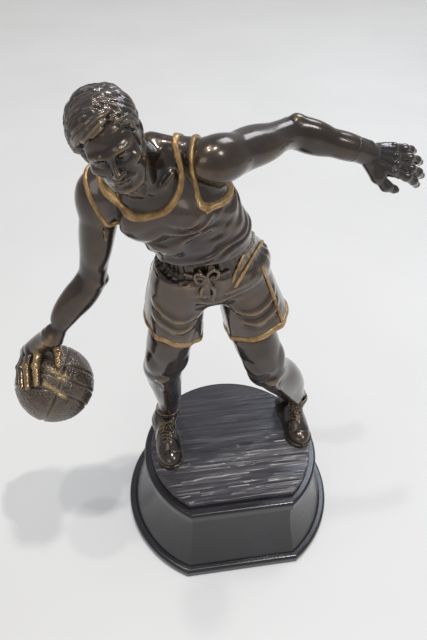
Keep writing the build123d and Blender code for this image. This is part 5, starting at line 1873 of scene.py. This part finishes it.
# ============================================================ materials of the CAD nodes
BASE_RESIN = black_resin("black_base_resin", (0.013, 0.0112, 0.0145))
STEEL = steel("zinc_plated_steel")
PLASTER = matte("poured_plaster", low=(0.60, 0.58, 0.54), high=(0.80, 0.78, 0.74), scale=160.0)
HARDBOARD = matte("hardboard", low=(0.12, 0.07, 0.035), high=(0.26, 0.16, 0.085), scale=420.0,
                  stretch=(1, 6, 1))
FELT = matte("black_felt", low=(0.008, 0.008, 0.009), high=(0.035, 0.035, 0.038), scale=1500.0,
             roughness=0.98, strength=0.9, distance=0.0003)
for names, material in (
    (("base_shell",), BASE_RESIN), (("ballast",), PLASTER), (("bottom_cover",), HARDBOARD),
    (("felt_pad",), FELT),
    (("cover_screws", "deck_screws", "foot_studs", "stud_washers", "stud_nuts", "neck_dowel",
      "shoulder_dowels", "waist_dowel", "hip_dowels", "ankle_dowels", "wrist_dowels",
      "ball_dowel"), STEEL),
    (("right_shoe", "left_shoe", "right_leg", "left_leg", "shorts", "torso", "head",
      "right_arm", "left_arm", "right_hand", "left_hand"), SKIN),
    (("ball",), BALL_BRONZE), (("court_deck",), DECK_WOOD),
):
    for name in names:
        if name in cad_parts:
            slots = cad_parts[name].data.materials
            slots.clear()
            slots.append(material)


# ============================================================ stage: floor, light, camera
def build_floor():
    look = Look("pale_floor")
    cloud = look.noise(look.coords(), scale=6.0, detail=3.0)
    look.shade({
        "Base Color": look.ramp(cloud, [(0.3, (0.700, 0.686, 0.668)),
                                        (0.7, (0.745, 0.731, 0.712))]),
        "Roughness": 0.55, "Specular IOR Level": 0.25})
    mesh = bpy.data.meshes.new("floor")
    mesh.from_pydata([(-4, -4, 0), (4, -4, 0), (4, 4, 0), (-4, 4, 0)], [], [(0, 1, 2, 3)])
    mesh.update()
    floor = bpy.data.objects.new("floor", mesh)
    bpy.context.scene.collection.objects.link(floor)
    mesh.materials.append(look.material)


def build_world():
    world = bpy.data.worlds.new("studio")
    bpy.context.scene.world = world
    world.use_nodes = True
    tree = world.node_tree
    tree.nodes.clear()
    output = tree.nodes.new("ShaderNodeOutputWorld")
    background = tree.nodes.new("ShaderNodeBackground")
    background.inputs["Color"].default_value = (0.98, 0.985, 1.0, 1)
    background.inputs["Strength"].default_value = 0.42
    tree.links.new(background.outputs[0], output.inputs[0])


def area_light(name, place, target, size, power, color, shadow=True):
    """A rectangular light at place, aimed at target, in metres and watts."""
    light = bpy.data.lights.new(name, "AREA")
    light.shape, light.energy, light.color = "RECTANGLE", power, color
    light.size, light.size_y = size
    light.spread = math.radians(180)
    if not shadow:
        light.use_shadow = False
    lamp = bpy.data.objects.new(name, light)
    bpy.context.scene.collection.objects.link(lamp)
    lamp.location = place
    lamp.rotation_mode = "QUATERNION"
    lamp.rotation_quaternion = (Vector(target) - Vector(place)).to_track_quat("-Z", "Y")


def build_camera():
    place = vec(-38.927, -165.246, 277.515) * MM
    right = (0.988089, -0.152270, 0.022214)
    up = (0.087307, 0.673605, 0.733917)
    forward = (0.126717, 0.723236, -0.678876)
    data = bpy.data.cameras.new("camera")
    camera = bpy.data.objects.new("camera", data)
    bpy.context.scene.collection.objects.link(camera)
    camera.matrix_world = Matrix([(right[i], up[i], -forward[i], place[i]) for i in range(3)]
                                 + [(0, 0, 0, 1)])
    data.sensor_fit = "AUTO"
    data.sensor_width = 36.0
    data.lens = 33.75
    data.shift_x = 0.0
    data.shift_y = -0.00234375
    data.clip_start, data.clip_end = 0.01, 20
    bpy.context.scene.camera = camera


build_floor()
build_world()
WARM = (1.0, 0.985, 0.96)
area_light("ceiling_right", (0.419, -0.164, 2.0), target=(-0.05, 0, 0.05),
           size=(0.055, 0.055), power=10.0, color=WARM)
area_light("ceiling_left", (-0.242, 0.267, 2.0), target=(-0.05, 0, 0.05),
           size=(0.07, 0.07), power=4.0, color=WARM)
area_light("ceiling_middle", (-0.142, -0.173, 2.0), target=(-0.02, 0, 0.05),
           size=(0.055, 0.055), power=4.0, color=WARM)
area_light("window_right_back", (0.50, 0.55, 0.90), target=(0, 0, 0.12),
           size=(0.40, 0.40), power=3.4, color=(0.78, 0.87, 1.0), shadow=False)
area_light("window_front_right", (0.45, -0.34, 0.77), target=(0, 0, 0.14),
           size=(0.15, 0.15), power=1.3, color=(0.86, 0.92, 1.0), shadow=False)
area_light("fill_front", (-0.5, -0.9, 0.9), target=(0, 0, 0.1),
           size=(0.7, 0.5), power=1.6, color=(1.0, 0.97, 0.93), shadow=False)
build_camera()
bpy.context.scene.view_settings.view_transform = "Standard"
